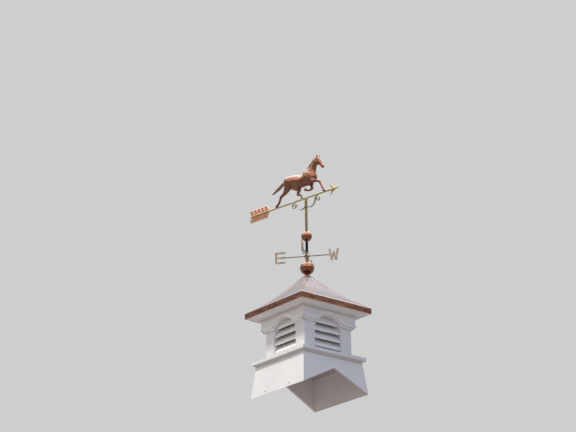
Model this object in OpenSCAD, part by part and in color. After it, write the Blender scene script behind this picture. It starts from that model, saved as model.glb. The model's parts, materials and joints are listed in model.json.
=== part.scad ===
// Barn cupola: a white saddle-cut base, a square box with an arched louvre in each side, a concave
// hipped copper roof, and a copper weathervane with compass letters and a running horse.
// Millimetres. The origin is the middle of the base at its feet, +Z is up, the house ridge runs
// along X, and the front is -Y.

/* [Base] */
// Width of the base at its feet
base_w = 574; // [540:2:620]
// How far each side of the base flares out towards its feet
base_flare = 26; // [10:1:36]
// Height of the base
base_h = 221; // [190:1:260]
// Thickness of the base boards
base_t = 19; // [12:1:24]
// Rise over run of the house roof that the saddle fits
saddle_slope = 0.5; // [0.3:0.05:0.6]

/* [Belt] */
// How far the belt stands out past the base
belt_reach = 21; // [14:1:30]
// Height of the cove under the belt
belt_cove_h = 15; // [8:1:22]
// Height of the belt's square edge
belt_edge_h = 24; // [15:1:34]
// Fall of the belt's top towards its edge
belt_fall = 4; // [2:1:8]

/* [Box] */
// Width of the louvred box
box_w = 420; // [380:2:460]
// Height of the box above the belt
box_h = 316; // [290:1:350]
// Thickness of the box boards
box_t = 13; // [12:1:20]
// Width of wall beside each arched opening
stile_w = 94; // [80:1:110]
// Height of wall over each arch
arch_head = 52; // [48:1:70]
// Height of the sills above the belt
sill_rise = 26; // [14:1:32]

/* [Louvres] */
// Number of slats in each louvre
slat_count = 4; // [3:1:4]
// Height of the lowest slat's edge above the sill
slat_first = 14; // [6:1:18]
// Height of a slat
slat_rise = 60; // [44:1:64]
// Depth of a slat
slat_run = 34; // [24:1:38]
// Thickness of a slat
slat_t = 5; // [3:0.5:7]
// How far the slats' edges stand forward into the opening
slat_proud = 5; // [1:0.5:8]
// Width of the louvre frame round the opening
frame_rim = 14; // [8:1:18]

/* [Frieze and crown] */
// Thickness of the frieze boards
frieze_t = 23; // [16:1:30]
// Height of the frieze face
frieze_h = 81; // [70:1:88]
// Width of the moulding round the frieze's lower edge
frieze_mould = 16; // [10:1:22]
// How far the crown stands out past the frieze
crown_reach = 73; // [60:1:90]
// Height of the crown moulding
crown_h = 18; // [15:1:28]
// Width of the flat strip under the crown's outer edge
crown_strip = 16; // [10:1:30]
// Height of the crown's outer edge
crown_edge_h = 7; // [4:1:9]

/* [Roof] */
// How far the drip edges hang out past the crown
eave_gap = 7; // [2:1:14]
// Height of the drip edge
drip_h = 42; // [30:1:50]
// Height of the roof's curve, drawn on to its point
roof_rise = 284; // [240:2:330]
// Hollowness of the roof, where 0 is straight
roof_hollow = 0.45; // [0.2:0.05:0.6]
// Width of the flat at the roof's peak
peak_w = 44; // [38:1:60]
// Thickness of the copper sheet
copper_t = 1.2; // [0.8:0.1:2]
// Thickness of the boards under the copper
deck_t = 12; // [9:1:18]

/* [Mast] */
// Diameter of the steel rod
rod_d = 19.5; // [16:0.1:21]
// Diameter of the rod's upper end, which the vane turns on
spindle_d = 12.7; // [10:0.1:13.5]
// Diameter of the lower ball
low_ball_d = 101.6; // [80:0.1:130]
// Diameter of the upper ball
high_ball_d = 76.2; // [60:0.1:100]
// Thickness of the spun copper balls
ball_t = 1.5; // [1:0.1:3]
// Diameter of the collar on the roof's peak
collar_d = 27; // [24:0.5:32]
// Height of the collar
collar_h = 11.5; // [5:0.5:20]
// Diameter of the hub of the compass arms
hub_d = 30; // [28:0.5:36]
// Height of the hub
hub_h = 66; // [50:1:80]
// Height of the arms above the hub's foot
arm_rise = 41; // [20:1:45]
// Height of bare rod between the hub and the upper ball
bare_h = 88; // [60:1:120]

/* [Compass letters] */
// Direction of the west arm from the ridge, in degrees
compass_turn = 41; // [0:1:90]
// Diameter of the arms
arm_d = 8; // [6:0.5:10]
// Distance from the mast to the letters
letter_reach = 155; // [120:1:180]
// Height of a letter
letter_h = 88; // [60:1:90]
// Width of a letter
letter_w = 74; // [60:1:90]
// Width of a letter's strokes
stroke_w = 14; // [9:0.5:15]
// Thickness of a letter
letter_t = 5; // [3:0.5:7]

/* [Vane] */
// Direction of the arrow from the ridge, in degrees
vane_turn = 9; // [0:1:30]
// Diameter of the brass tube that turns on the rod
tube_d = 19; // [17:0.5:22]
// Height of the arrow above the upper ball's top
vane_rise = 256; // [240:1:280]
// Diameter of the arrow's shaft
shaft_d = 13; // [11:0.5:15]
// Reach of the arrow's tail behind the mast
tail_reach = 535; // [500:1:560]
// Reach of the arrow's point before the mast
point_reach = 324; // [300:1:340]
// Length of the arrow's head along its middle
head_l = 77; // [60:1:90]
// Height of the head's barbs above the middle
head_h = 47; // [36:1:54]
// Length of the feather
feather_l = 175; // [140:1:190]
// Height of the feather above the middle
feather_h = 51; // [40:1:60]
// Number of barbs on each side of the feather
barb_count = 5; // [4:1:7]
// Radius of the scrolls' curls
curl_r = 25; // [20:0.5:28]
// Radius of the scrolls' troughs
trough_r = 44; // [38:0.5:50]
// Width of the scrolls' bar
scroll_bar = 5; // [3:0.5:6]
// Length of the horse from its muzzle to its tail
horse_l = 505; // [420:5:540]

/* [Hidden] */

$fn = 64;
// Longer than anything that a cut or a mitre has to pass
FAR = 900;
// Overlap of solids that are fused into one piece
FUSE = 1;
// Radial play of a piece that slips over the rod
SLIP = 0.15;
// Play between pieces that seat without touching
SEAT = 0.3;
FRONT = 0;
RIGHT = 1;
BACK = 2;
LEFT = 3;

base_r = base_w / 2;
base_top_r = base_r - base_flare;
belt_bottom = base_h;
belt_top = base_h + belt_cove_h + belt_edge_h + belt_fall;
box_r = box_w / 2;
box_in = box_r - box_t;
box_top = belt_top + box_h;
arch_r = box_r - stile_w;
arch_z = box_top - arch_head - arch_r;
sill_z = belt_top + sill_rise;
frieze_r = box_r + frieze_t;
crown_z = box_top - crown_h;
frieze_z = crown_z - frieze_h;
crown_r = frieze_r + crown_reach;
louvre_face = box_in - SEAT;
slat_pitch = (arch_z + arch_r - sill_z - slat_first) / slat_count;
slat_across = slat_t / sin(atan2(slat_rise, slat_run));
louvre_depth = slat_run + slat_across - slat_proud + 4;
board_w = 90;
board_t = 18;
board_drop = 36;
board_z = box_top - board_drop;

roof_r = crown_r + eave_gap;
peak_r = peak_w / 2;
drip_top = box_top + drip_h;
ROOF_STEPS = 14;
peak_z = roof_z(peak_r);
plate_t = 1.5;
collar_top = peak_z + plate_t + collar_h;
low_ball_z = collar_top + seat_rise(low_ball_d, collar_d);
hub_z = low_ball_z + seat_rise(low_ball_d, collar_d);
shoulder_z = hub_z + hub_h + bare_h;
high_ball_z = shoulder_z + seat_rise(high_ball_d, rod_d);
tube_z = high_ball_z + high_ball_d / 2 + 2;
arrow_z = high_ball_z + high_ball_d / 2 + vane_rise;
boss_d = 24;
boss_h = 26;
tube_top = arrow_z - boss_h / 2;
tip_z = tube_top - 8;

PVC = [0.93, 0.93, 0.94];
COPPER = [0.72, 0.44, 0.36];
BRASS = [0.82, 0.70, 0.46];
STEEL = [0.16, 0.16, 0.17];
PINE = [0.78, 0.64, 0.45];

// Height from a flat on a ball, as wide as its neighbour, to the ball's centre
function seat_rise(ball_d, flat_d) = sqrt(pow(ball_d / 2, 2) - pow(flat_d / 2, 2));
// The roof's height, and its steepness, at distance w from the middle
function roof_z(w) = let (t = 1 - w / roof_r) drip_top + roof_rise * t * (1 - roof_hollow * (1 - t));
function roof_fall(w) = let (t = 1 - w / roof_r) roof_rise / roof_r * (1 - roof_hollow * (1 - 2 * t));
// The same curve, a thickness t below the outside
function under_roof_z(w, t) = roof_z(w) - t * sqrt(1 + pow(roof_fall(w), 2));
// Points of the roof's curve from the peak out to w_end, a thickness t below the outside
function roof_line(w_end, t) = [for (i = [0:ROOF_STEPS])
    let (w = peak_r + (w_end - peak_r) * pow(i / ROOF_STEPS, 0.8)) [w, under_roof_z(w, t)]];
function reversed(list) = [for (i = [len(list) - 1:-1:0]) list[i]];
function arc(centre, r, from, to, steps) = [for (i = [0:steps])
    let (a = from + (to - from) * i / steps) centre + r * [cos(a), sin(a)]];
// A hollow quarter curve that leaves one point upwards and meets the other outwards
function cove(from, to) = [for (a = [0:15:90])
    [from[0] + (to[0] - from[0]) * (1 - cos(a)), from[1] + (to[1] - from[1]) * sin(a)]];
// The outline of a bar of a given width along a path of points
function along(path, i) = path[min(i + 1, len(path) - 1)] - path[max(i - 1, 0)];
function aside(path, i, d) = path[i] + d * [-along(path, i)[1], along(path, i)[0]] / norm(along(path, i));
function ribbon(path, w) = concat([for (i = [0:len(path) - 1]) aside(path, i, w / 2)],
                                  reversed([for (i = [0:len(path) - 1]) aside(path, i, -w / 2)]));

// Turns a front piece to its side of the cupola
module side(k) {
    rotate([0, 0, 90 * k]) children();
}

// A profile of [distance from the middle, height] points, run along the front and mitred at 45 degrees,
// with half of a joint left open at each mitre
module mitred_run(profile, joint = 0) {
    intersection() {
        rotate([90, 0, 90]) linear_extrude(height = FAR, center = true)
            polygon([for (p = profile) [-p[0], p[1]]]);
        translate([0, -joint, 0]) linear_extrude(height = 2 * FAR, center = true)
            polygon([[0, 0], [-FAR, -FAR], [FAR, -FAR]]);
    }
}

// An outline in the front wall's plane, as thick as from the distance w_in to w_out from the middle
module front_slab(w_in, w_out) {
    translate([0, -w_in, 0]) rotate([90, 0, 0]) linear_extrude(height = w_out - w_in) children();
}

// The outline of an arched opening, larger by rim on every side
module arch_outline(rim = 0) {
    translate([0, arch_z]) circle(arch_r + rim, $fn = 96);
    translate([-arch_r - rim, sill_z - rim]) square([2 * (arch_r + rim), arch_z - sill_z + rim]);
}

// The house roof that the base sits astride
module house_ridge() {
    apex = base_r * saddle_slope;
    rotate([90, 0, 90]) linear_extrude(height = 2 * FAR, center = true)
        polygon([[0, apex], [-FAR, apex - FAR * saddle_slope], [-FAR, -FAR], [FAR, -FAR],
                 [FAR, apex - FAR * saddle_slope]]);
}

module base_wall(k) {
    across = base_t * sqrt(1 + pow(base_flare / base_h, 2));
    color(PVC) difference() {
        side(k) mitred_run([[base_r, 0], [base_top_r, base_h], [base_top_r - across, base_h],
                            [base_r - across, 0]]);
        house_ridge();
    }
}

// Belt board with a cove under its square edge, and a top that sheds water
module belt(k) {
    edge = base_top_r + belt_reach;
    edge_z = belt_bottom + belt_cove_h;
    color(PVC) side(k) mitred_run(concat(
        [[box_in, belt_bottom]], cove([base_top_r, belt_bottom], [edge, edge_z]),
        [[edge, edge_z + belt_edge_h], [box_r, belt_top], [box_in, belt_top]]));
}

// Box side, with its arched opening cut through
module box_wall(k) {
    color(PVC) side(k) difference() {
        mitred_run([[box_in, belt_top], [box_r, belt_top], [box_r, box_top], [box_in, box_top]]);
        front_slab(box_in - FUSE, box_r + FUSE) arch_outline();
    }
}

// Arched frame behind the opening, with sloping slats across it
module louvre(k) {
    back = louvre_face - louvre_depth;
    color(PVC) side(k) {
        front_slab(back, louvre_face) difference() {
            arch_outline(frame_rim);
            arch_outline();
        }
        for (i = [0:slat_count - 1]) slat(sill_z + slat_first + i * slat_pitch);
    }
}

// A slat, let into the frame behind the wall and trimmed to the opening where it stands forward
module slat(z) {
    face = louvre_face + slat_proud;
    intersection() {
        rotate([90, 0, 90]) linear_extrude(height = 2 * (arch_r + frame_rim / 2), center = true)
            polygon([[-face, z], [-face + slat_run, z + slat_rise],
                     [-face + slat_run + slat_across, z + slat_rise], [-face + slat_across, z]]);
        union() {
            front_slab(0, louvre_face) arch_outline(frame_rim / 2);
            front_slab(louvre_face - FUSE, box_r) arch_outline(-SEAT);
        }
    }
}

// The frieze's moulded lower edge, as [height off the box, distance in from the edge] points
function frieze_edge() = let (lip = frieze_t * 0.27, ease = frieze_t * 0.17)
    concat([[lip, 0]], cove([lip, frieze_mould * 0.3], [frieze_t - ease, frieze_mould - ease]),
           [[frieze_t, frieze_mould]]);

// Frieze board, with one moulding along its foot and round the arch
module frieze(k) {
    foot_z = frieze_z - frieze_mould;
    color(PVC) side(k) difference() {
        mitred_run(concat([[box_r, foot_z]], [for (p = frieze_edge()) [box_r + p[0], foot_z + p[1]]],
                          [[frieze_r, crown_z], [box_r, crown_z]]));
        translate([0, -box_r, arch_z]) rotate([90, 0, 0]) rotate_extrude($fn = 96)
            polygon(concat([[0, -FUSE], [arch_r, -FUSE]], [for (p = frieze_edge()) [arch_r + p[1], p[0]]],
                           [[arch_r + frieze_mould, frieze_t + FUSE], [0, frieze_t + FUSE]]));
    }
}

// Crown moulding: a bead over the frieze, a shallow cove, and a strip with a square edge under the eaves
module crown(k) {
    bead_w = 13;
    bead_h = 5;
    bead = frieze_r + bead_w;
    strip_z = box_top - crown_edge_h;
    color(PVC) side(k) mitred_run(concat(
        [[box_r, crown_z], [bead, crown_z]],
        cove([bead + 2, crown_z + bead_h], [crown_r - crown_strip, strip_z - 2]),
        [[crown_r - crown_strip, strip_z], [crown_r, strip_z], [crown_r, box_top], [box_r, box_top]]));
}

// Hollow-curved copper panel, turned down at the eaves into a drip edge
module roof_panel(k) {
    color(COPPER) side(k) mitred_run(concat(
        [[roof_r - copper_t, box_top], [roof_r, box_top]], reversed(roof_line(roof_r, 0)),
        roof_line(roof_r - copper_t, copper_t)));
}

// Boards under the copper with their fascia and soffit, one run a side, and a block at the peak for the rod
module roof_deck() {
    face = roof_r - copper_t;
    back = face - deck_t;
    block_r = peak_r - SEAT;
    block_h = 40;
    color(PINE) {
        for (k = [FRONT:LEFT]) side(k) mitred_run(joint = SEAT, profile = concat(
            [[box_in, box_top], [face, box_top]], reversed(roof_line(face, copper_t)),
            roof_line(back, copper_t + deck_t), [[back, box_top + deck_t], [box_in, box_top + deck_t]]));
        bored() translate([-block_r, -block_r, peak_z - block_h]) cube([2 * block_r, 2 * block_r, block_h]);
    }
}

// Board across the box that carries the foot of the rod
module mast_board() {
    color(PINE) difference() {
        translate([-box_in, -board_w / 2, board_z]) cube([2 * box_in, board_w, board_t]);
        cylinder(h = 2 * FAR, d = rod_d + 2 * SLIP);
    }
}

// Steel rod with a flange on the board, stepped at the upper ball, up to the tip that the vane turns on
module mast_rod() {
    flange_d = 70;
    flange_t = 6;
    foot_z = board_z - 12;
    color(STEEL) {
        translate([0, 0, foot_z]) cylinder(h = shoulder_z - foot_z, d = rod_d);
        translate([0, 0, board_z + board_t]) cylinder(h = flange_t, d = flange_d);
        translate([0, 0, shoulder_z - FUSE]) cylinder(h = tip_z - SEAT - shoulder_z + FUSE, d = spindle_d);
    }
}

module bored(d = rod_d) {
    difference() {
        children();
        cylinder(h = 4 * FAR, d = d + 2 * SLIP, center = true);
    }
}

module peak_collar() {
    color(COPPER) bored() {
        translate([-peak_r, -peak_r, peak_z]) cube([peak_w, peak_w, plate_t]);
        translate([0, 0, peak_z]) cylinder(h = plate_t + collar_h, d = collar_d);
    }
}

// Hollow ball of two spun halves with a seam lip, flattened where it meets its neighbours
module ball(z, d, flat_d, bore_d) {
    half = seat_rise(d, flat_d);
    color(COPPER) translate([0, 0, z]) bored(bore_d) {
        intersection() {
            difference() {
                sphere(d = d);
                sphere(d = d - 2 * ball_t);
            }
            translate([0, 0, -half]) cylinder(h = 2 * half, d = 2 * d);
        }
        difference() {
            translate([0, 0, -ball_t]) cylinder(h = 2 * ball_t, d = d + 2);
            cylinder(h = 4 * ball_t, d = d - 2 * ball_t, center = true);
        }
    }
}

module compass_arms() {
    ball_r = hub_d / 2 + 4;
    color(BRASS) translate([0, 0, hub_z]) bored() {
        cylinder(h = hub_h, d = hub_d - 5);
        cylinder(h = 6, d = hub_d);
        translate([0, 0, hub_h - 6]) cylinder(h = 6, d = hub_d);
        translate([0, 0, arm_rise]) intersection() {
            sphere(r = ball_r);
            translate([0, 0, -10]) cylinder(h = 20, r = ball_r);
        }
        for (k = [0:3]) rotate([0, 0, compass_turn + 90 * k]) translate([hub_d / 2, 0, arm_rise])
            rotate([0, 90, 0]) cylinder(h = letter_reach - hub_d / 2, d = arm_d);
    }
}

module stroke(from, to) {
    polygon(ribbon([from, to], stroke_w));
}

// A letter drawn about its own middle, standing at the end of its arm
module letter(k, reading) {
    color(BRASS) rotate([0, 0, compass_turn + 90 * k])
        translate([letter_reach + letter_w / 2, letter_t / 2, hub_z + arm_rise])
        rotate([90, 0, 0]) linear_extrude(height = letter_t) mirror([reading < 0 ? 1 : 0, 0]) children();
}

module north_outline() {
    x = (letter_w - stroke_w) / 2;
    y = letter_h / 2;
    stroke([-x, -y], [-x, y]);
    stroke([x, -y], [x, y]);
    polygon([[-x - stroke_w / 2, y], [-x + stroke_w / 2, y], [x + stroke_w / 2, -y], [x - stroke_w / 2, -y]]);
}

module east_outline() {
    x = letter_w / 2;
    y = (letter_h - stroke_w) / 2;
    stroke([-x + stroke_w / 2, -letter_h / 2], [-x + stroke_w / 2, letter_h / 2]);
    for (k = [-1:1]) stroke([-x + FUSE, k * y], [x, k * y]);
}

module south_outline() {
    rx = (letter_w - stroke_w) / 2;
    ry = (letter_h - stroke_w) / 4;
    upper = [for (a = [30:7.5:270]) [rx * cos(a), ry + ry * sin(a)]];
    lower = [for (a = [82.5:-7.5:-150]) [rx * cos(a), -ry + ry * sin(a)]];
    polygon(ribbon(concat(upper, lower), stroke_w));
    tang(0);
}

module west_outline() {
    x = (letter_w - stroke_w) / 2;
    y = letter_h / 2;
    for (k = [-1, 1]) {
        slant([k * x, y], [k * x / 2, -y]);
        slant([0, y * 0.5], [k * x / 2, -y]);
    }
    tang(-x * 0.75);
}

// A stroke with level ends
module slant(top, foot) {
    half = [stroke_w / 2, 0];
    polygon([top - half, top + half, foot + half, foot - half]);
}

// The stub that carries a letter from the end of its arm
module tang(x) {
    root = -letter_w / 2;
    half = arm_d / 2;
    polygon([[root, half], [x, half], [x, -half], [root, -half]]);
}

// Places a piece in the vane's own plane: x along the arrow from the mast, z above the arrow's middle
module on_vane() {
    rotate([0, 0, vane_turn]) translate([0, 0, arrow_z]) children();
}

// A plate in the vane's plane
module vane_plate(t) {
    translate([0, t / 2, 0]) rotate([90, 0, 0]) linear_extrude(height = t) children();
}

module vane_tube() {
    color(BRASS) difference() {
        translate([0, 0, tube_z]) cylinder(h = tube_top - tube_z, d = tube_d);
        translate([0, 0, tube_z - FUSE]) cylinder(h = tip_z - tube_z + FUSE, d = spindle_d + 2 * SEAT);
    }
}

module arrow_shaft() {
    head_root = point_reach - head_l;
    color(BRASS) on_vane() {
        translate([-tail_reach, 0, 0]) rotate([0, 90, 0]) cylinder(h = tail_reach + head_root, d = shaft_d);
        translate([0, 0, -boss_h / 2]) cylinder(h = boss_h / 2 + shaft_d / 4, d = boss_d);
    }
}

// Pointed head with two swept barbs
module arrow_head() {
    root = point_reach - head_l;
    gap = shaft_d / 2 + SEAT;
    color(BRASS) on_vane() {
        vane_plate(4) for (k = [-1, 1]) polygon([
            [point_reach - 8, 0], [root + head_l * 0.45, k * 9], [root + 12, k * head_h * 0.46],
            [root - 22, k * head_h], [root - 8, k * head_h * 0.46], [root - 2, k * gap], [root, k * gap],
            [root, 0]]);
        translate([root, 0, 0]) rotate([0, 90, 0]) cylinder(h = head_l, d1 = shaft_d, d2 = 2);
    }
}

// Sleeve on the shaft's tail with a swept, ribbed and notched plate above and below
module arrow_feather() {
    pitch = feather_l / barb_count;
    sweep = 20;
    notch = 7;
    rib_w = 3.5;
    sleeve_wall = 1.2;
    root = shaft_d / 2 + SLIP + sleeve_wall / 2;
    color(COPPER) on_vane() translate([-tail_reach, 0, 0]) {
        for (k = [-1, 1]) {
            edge = [for (i = [0:barb_count - 1]) each [
                [i * pitch - sweep * 0.8, k * (feather_h - notch)], [(i + 1) * pitch - sweep, k * feather_h]]];
            vane_plate(2) polygon(concat([[feather_l, k * root], [0, k * root]], edge));
            for (i = [1:barb_count]) vane_plate(4) polygon([
                [i * pitch, k * root], [i * pitch - sweep, k * feather_h],
                [i * pitch - sweep - rib_w, k * (feather_h - 1)], [i * pitch - rib_w, k * root]]);
        }
        rotate([0, 90, 0]) difference() {
            cylinder(h = feather_l, d = shaft_d + 2 * SLIP + 2 * sleeve_wall);
            translate([0, 0, -FUSE]) cylinder(h = feather_l + 2 * FUSE, d = shaft_d + 2 * SLIP);
        }
    }
}

// Two scrolls that brace the arrow from a collar on the tube
module scrolls() {
    curl_h = -(shaft_d / 2 + SEAT + scroll_bar / 2 + curl_r);
    trough_x = trough_r - 2;
    start = -acos((tube_d / 2 + 2 - trough_x) / trough_r);
    collar_z = curl_h + trough_r * sin(start);
    trough = arc([trough_x, curl_h], trough_r, start, 0, 16);
    curl = [for (i = [1:22]) let (a = 180 - 17 * i, r = curl_r * (1 - i / 38))
        [trough_x + trough_r + curl_r, curl_h] + r * [cos(a), sin(a)]];
    color(BRASS) on_vane() {
        for (k = [0, 1]) mirror([k, 0, 0]) vane_plate(8) polygon(ribbon(concat(trough, curl), scroll_bar));
        translate([0, 0, collar_z]) difference() {
            cylinder(h = 18, d = tube_d + 8, center = true);
            cylinder(h = 20, d = tube_d + 2 * SLIP, center = true);
        }
    }
}

// A smooth limb through rings of [along, height, aside, radius in the vane's plane, radius across it]
module limb(rings, sides = 14) {
    last = len(rings) - 1;
    path = [for (r = rings) [r[0], r[1]]];
    points = [for (i = [0:last]) for (j = [0:sides - 1])
        let (t = along(path, i) / norm(along(path, i)), a = 360 * j / sides, u = rings[i][3] * cos(a))
        [path[i][0] - t[1] * u, rings[i][2] + rings[i][4] * sin(a), path[i][1] + t[0] * u]];
    skin = [for (i = [0:last - 1]) for (j = [0:sides - 1])
        let (a = i * sides + j, b = i * sides + (j + 1) % sides) [a, b, b + sides, a + sides]];
    foot = [for (j = [sides - 1:-1:0]) j];
    tip = [for (j = [0:sides - 1]) last * sides + j];
    polyhedron(points, concat([foot], skin, [tip]), convexity = 6);
}

module horse_trunk() {
    limb([[-188, 168, 0, 8, 8], [-184, 168, 0, 22, 19], [-174, 166, 0, 34, 29], [-155, 163, 0, 45, 36],
          [-128, 159, 0, 50, 39], [-98, 153, 0, 52, 39], [-68, 146, 0, 49, 38], [-36, 138, 0, 45, 38],
          [-8, 143, 0, 49, 39], [18, 150, 0, 52, 38], [42, 150, 0, 47, 36], [64, 146, 0, 36, 31],
          [79, 143, 0, 24, 23], [87, 142, 0, 9, 11]], 20);
}

module horse_head() {
    limb([[38, 150, 0, 58, 33], [54, 182, 0, 43, 28], [70, 210, 0, 33, 22], [85, 236, 0, 26, 18],
          [101, 260, 0, 23, 16], [114, 276, 0, 18, 14], [121, 285, 0, 9, 8]], 18);
    limb([[108, 284, 0, 9, 9], [115, 272, 0, 18, 15], [125, 255, 0, 21, 18], [136, 239, 0, 19, 16],
          [149, 222, 0, 14, 12], [160, 208, 0, 12, 11], [166, 199, 0, 11, 9], [170, 193, 0, 5, 5]], 16);
    for (y = [-9, 9]) limb([[118, 276, y, 7, 5], [123, 287, y, 6, 4], [128, 301, y * 1.2, 1.5, 1.5]], 8);
}

// Locks of the mane, swept back from the crest of the neck
module horse_mane() {
    locks = 8;
    out = 16;
    for (i = [0:locks - 1]) let (t = i / (locks - 1), x = 16 + 92 * t, z = 200 + 80 * t)
        limb([[x + 8, z - 12, 0, 11, 7], [x - 4, z + 4, 0, 8, 5], [x - out, z + out * 0.75, 0, 1.5, 1.5]], 8);
}

module horse_legs() {
    // Near foreleg, stretched forwards
    limb([[36, 128, -18, 27, 15], [62, 114, -20, 20, 14], [88, 105, -18, 13, 11], [112, 99, -16, 10, 10],
          [134, 91, -14, 10, 10], [146, 84, -13, 6, 6]]);
    limb([[130, 100, -14, 6, 6], [141, 86, -13, 11, 10], [149, 70, -12, 8, 8], [157, 52, -10, 7, 6.5],
          [163, 36, -8, 7, 6.5], [167, 27, -7, 8.5, 8], [170, 19, -6, 7.5, 7.5], [173, 12, -4, 10, 9],
          [177, 2, -3, 12, 10]]);
    // Far foreleg, folded under
    limb([[32, 126, 18, 25, 15], [38, 106, 19, 19, 13], [43, 89, 18, 13, 11], [46, 76, 17, 11, 10],
          [47, 68, 17, 6, 6]]);
    limb([[54, 74, 17, 6, 6], [46, 68, 17, 10, 10], [34, 62, 17, 7.5, 7.5], [18, 61, 16, 6.5, 6.5],
          [4, 64, 16, 8, 8], [-3, 67, 16, 7, 7], [-10, 71, 16, 10, 9], [-17, 75, 16, 11, 10]]);
    // Near hind leg, thrust back
    limb([[-138, 152, -16, 42, 17], [-154, 130, -18, 38, 17], [-167, 107, -19, 28, 16], [-183, 88, -18, 18, 13],
          [-204, 76, -17, 13, 11], [-222, 69, -15, 12, 10], [-232, 65, -14, 6, 6]]);
    limb([[-214, 79, -15, 8, 7], [-225, 67, -14, 12, 10], [-233, 54, -13, 9, 8], [-241, 41, -11, 8.5, 8],
          [-250, 30, -9, 9, 8], [-261, 21, -7, 8.5, 8], [-273, 14, -5, 10, 9], [-288, 4, -3, 12, 10]]);
    // Far hind leg, drawn forwards
    limb([[-128, 142, 16, 38, 17], [-100, 120, 18, 30, 16], [-78, 100, 18, 19, 14], [-80, 82, 17, 13, 12],
          [-88, 66, 16, 12, 10], [-94, 54, 15, 7, 7]]);
    limb([[-104, 61, 15, 6, 6], [-93, 56, 15, 10, 9], [-79, 52, 14, 8, 7.5], [-64, 46, 12, 7.5, 7.5],
          [-55, 38, 10, 8, 8], [-49, 29, 8, 7.5, 7], [-42, 17, 5, 9, 9], [-36, 2, 3, 12, 10]]);
}

module horse_tail() {
    limb([[-172, 192, 0, 7, 7], [-190, 186, 0, 9, 8], [-206, 177, 0, 10, 9], [-222, 168, 0, 13, 10],
          [-240, 158, 0, 15, 11], [-260, 148, 0, 15, 11], [-282, 137, 0, 13, 9], [-302, 127, 0, 10, 7],
          [-318, 120, 0, 6, 5], [-331, 115, 0, 2, 2]], 12);
}

// Running horse, drawn at its full size above the arrow's middle, whose hooves stand on the arrow
module horse() {
    drawn_l = 505;
    drawn_sole = 6.8;
    color(COPPER) on_vane() translate([0, 0, shaft_d / 2 + SEAT]) scale(horse_l / drawn_l)
        translate([0, 0, -drawn_sole]) difference() {
            union() {
                horse_trunk();
                horse_head();
                horse_mane();
                horse_legs();
                horse_tail();
            }
            translate([-FAR, -FAR, -FAR + drawn_sole]) cube([2 * FAR, 2 * FAR, FAR]);
        }
}

base_wall(FRONT);  // base_wall_front
base_wall(RIGHT);  // base_wall_right
base_wall(BACK);  // base_wall_back
base_wall(LEFT);  // base_wall_left
belt(FRONT);  // belt_front
belt(RIGHT);  // belt_right
belt(BACK);  // belt_back
belt(LEFT);  // belt_left
box_wall(FRONT);  // box_wall_front
box_wall(RIGHT);  // box_wall_right
box_wall(BACK);  // box_wall_back
box_wall(LEFT);  // box_wall_left
louvre(FRONT);  // louvre_front
louvre(RIGHT);  // louvre_right
louvre(BACK);  // louvre_back
louvre(LEFT);  // louvre_left
frieze(FRONT);  // frieze_front
frieze(RIGHT);  // frieze_right
frieze(BACK);  // frieze_back
frieze(LEFT);  // frieze_left
crown(FRONT);  // crown_front
crown(RIGHT);  // crown_right
crown(BACK);  // crown_back
crown(LEFT);  // crown_left
roof_panel(FRONT);  // roof_panel_front
roof_panel(RIGHT);  // roof_panel_right
roof_panel(BACK);  // roof_panel_back
roof_panel(LEFT);  // roof_panel_left
roof_deck();
mast_board();
mast_rod();
peak_collar();
ball(low_ball_z, low_ball_d, collar_d, rod_d);  // lower_ball
compass_arms();
ball(high_ball_z, high_ball_d, rod_d, spindle_d);  // upper_ball
letter(3, -1) north_outline();  // letter_north
letter(2, -1) east_outline();  // letter_east
letter(1, 1) south_outline();  // letter_south
letter(0, 1) west_outline();  // letter_west
vane_tube();
arrow_shaft();
arrow_head();
arrow_feather();
scrolls();
horse();
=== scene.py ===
"""Looks of a barn cupola with a running-horse weathervane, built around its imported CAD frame.

Shapes are in millimetres, in the frame's own axes: X along the house ridge, -Y the front, +Z up. The camera,
the stage and the materials' patterns are in metres. Pieces of the vane are made in the vane's plane, x along
the arrow and z above its middle, and then set on the mast.
"""
import json
import math

import bpy
import numpy as np
from mathutils import Matrix, Vector, noise


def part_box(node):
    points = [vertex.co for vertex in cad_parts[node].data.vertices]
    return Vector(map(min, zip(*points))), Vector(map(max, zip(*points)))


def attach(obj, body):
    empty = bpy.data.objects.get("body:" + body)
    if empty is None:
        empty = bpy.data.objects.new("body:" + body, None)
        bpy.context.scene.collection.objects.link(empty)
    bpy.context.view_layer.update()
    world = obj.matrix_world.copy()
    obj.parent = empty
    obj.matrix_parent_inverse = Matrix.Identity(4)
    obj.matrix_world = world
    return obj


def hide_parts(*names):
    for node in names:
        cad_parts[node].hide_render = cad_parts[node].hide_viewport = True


MM = 0.001
QUARTER = math.pi / 2
SIDES = ("front", "right", "back", "left")

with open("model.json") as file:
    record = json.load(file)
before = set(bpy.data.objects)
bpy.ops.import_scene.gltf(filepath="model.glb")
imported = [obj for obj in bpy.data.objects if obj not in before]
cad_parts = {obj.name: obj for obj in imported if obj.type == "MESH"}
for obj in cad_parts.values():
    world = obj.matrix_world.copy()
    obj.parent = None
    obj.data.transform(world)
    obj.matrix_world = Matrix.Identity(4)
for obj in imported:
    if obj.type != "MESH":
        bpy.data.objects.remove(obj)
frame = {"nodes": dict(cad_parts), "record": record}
nodes = frame["nodes"]
scene = bpy.context.scene
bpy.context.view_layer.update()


def box(node):
    """The low and high corners of a node of the frame, in millimetres."""
    low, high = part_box(node)
    return low / MM, high / MM


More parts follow.
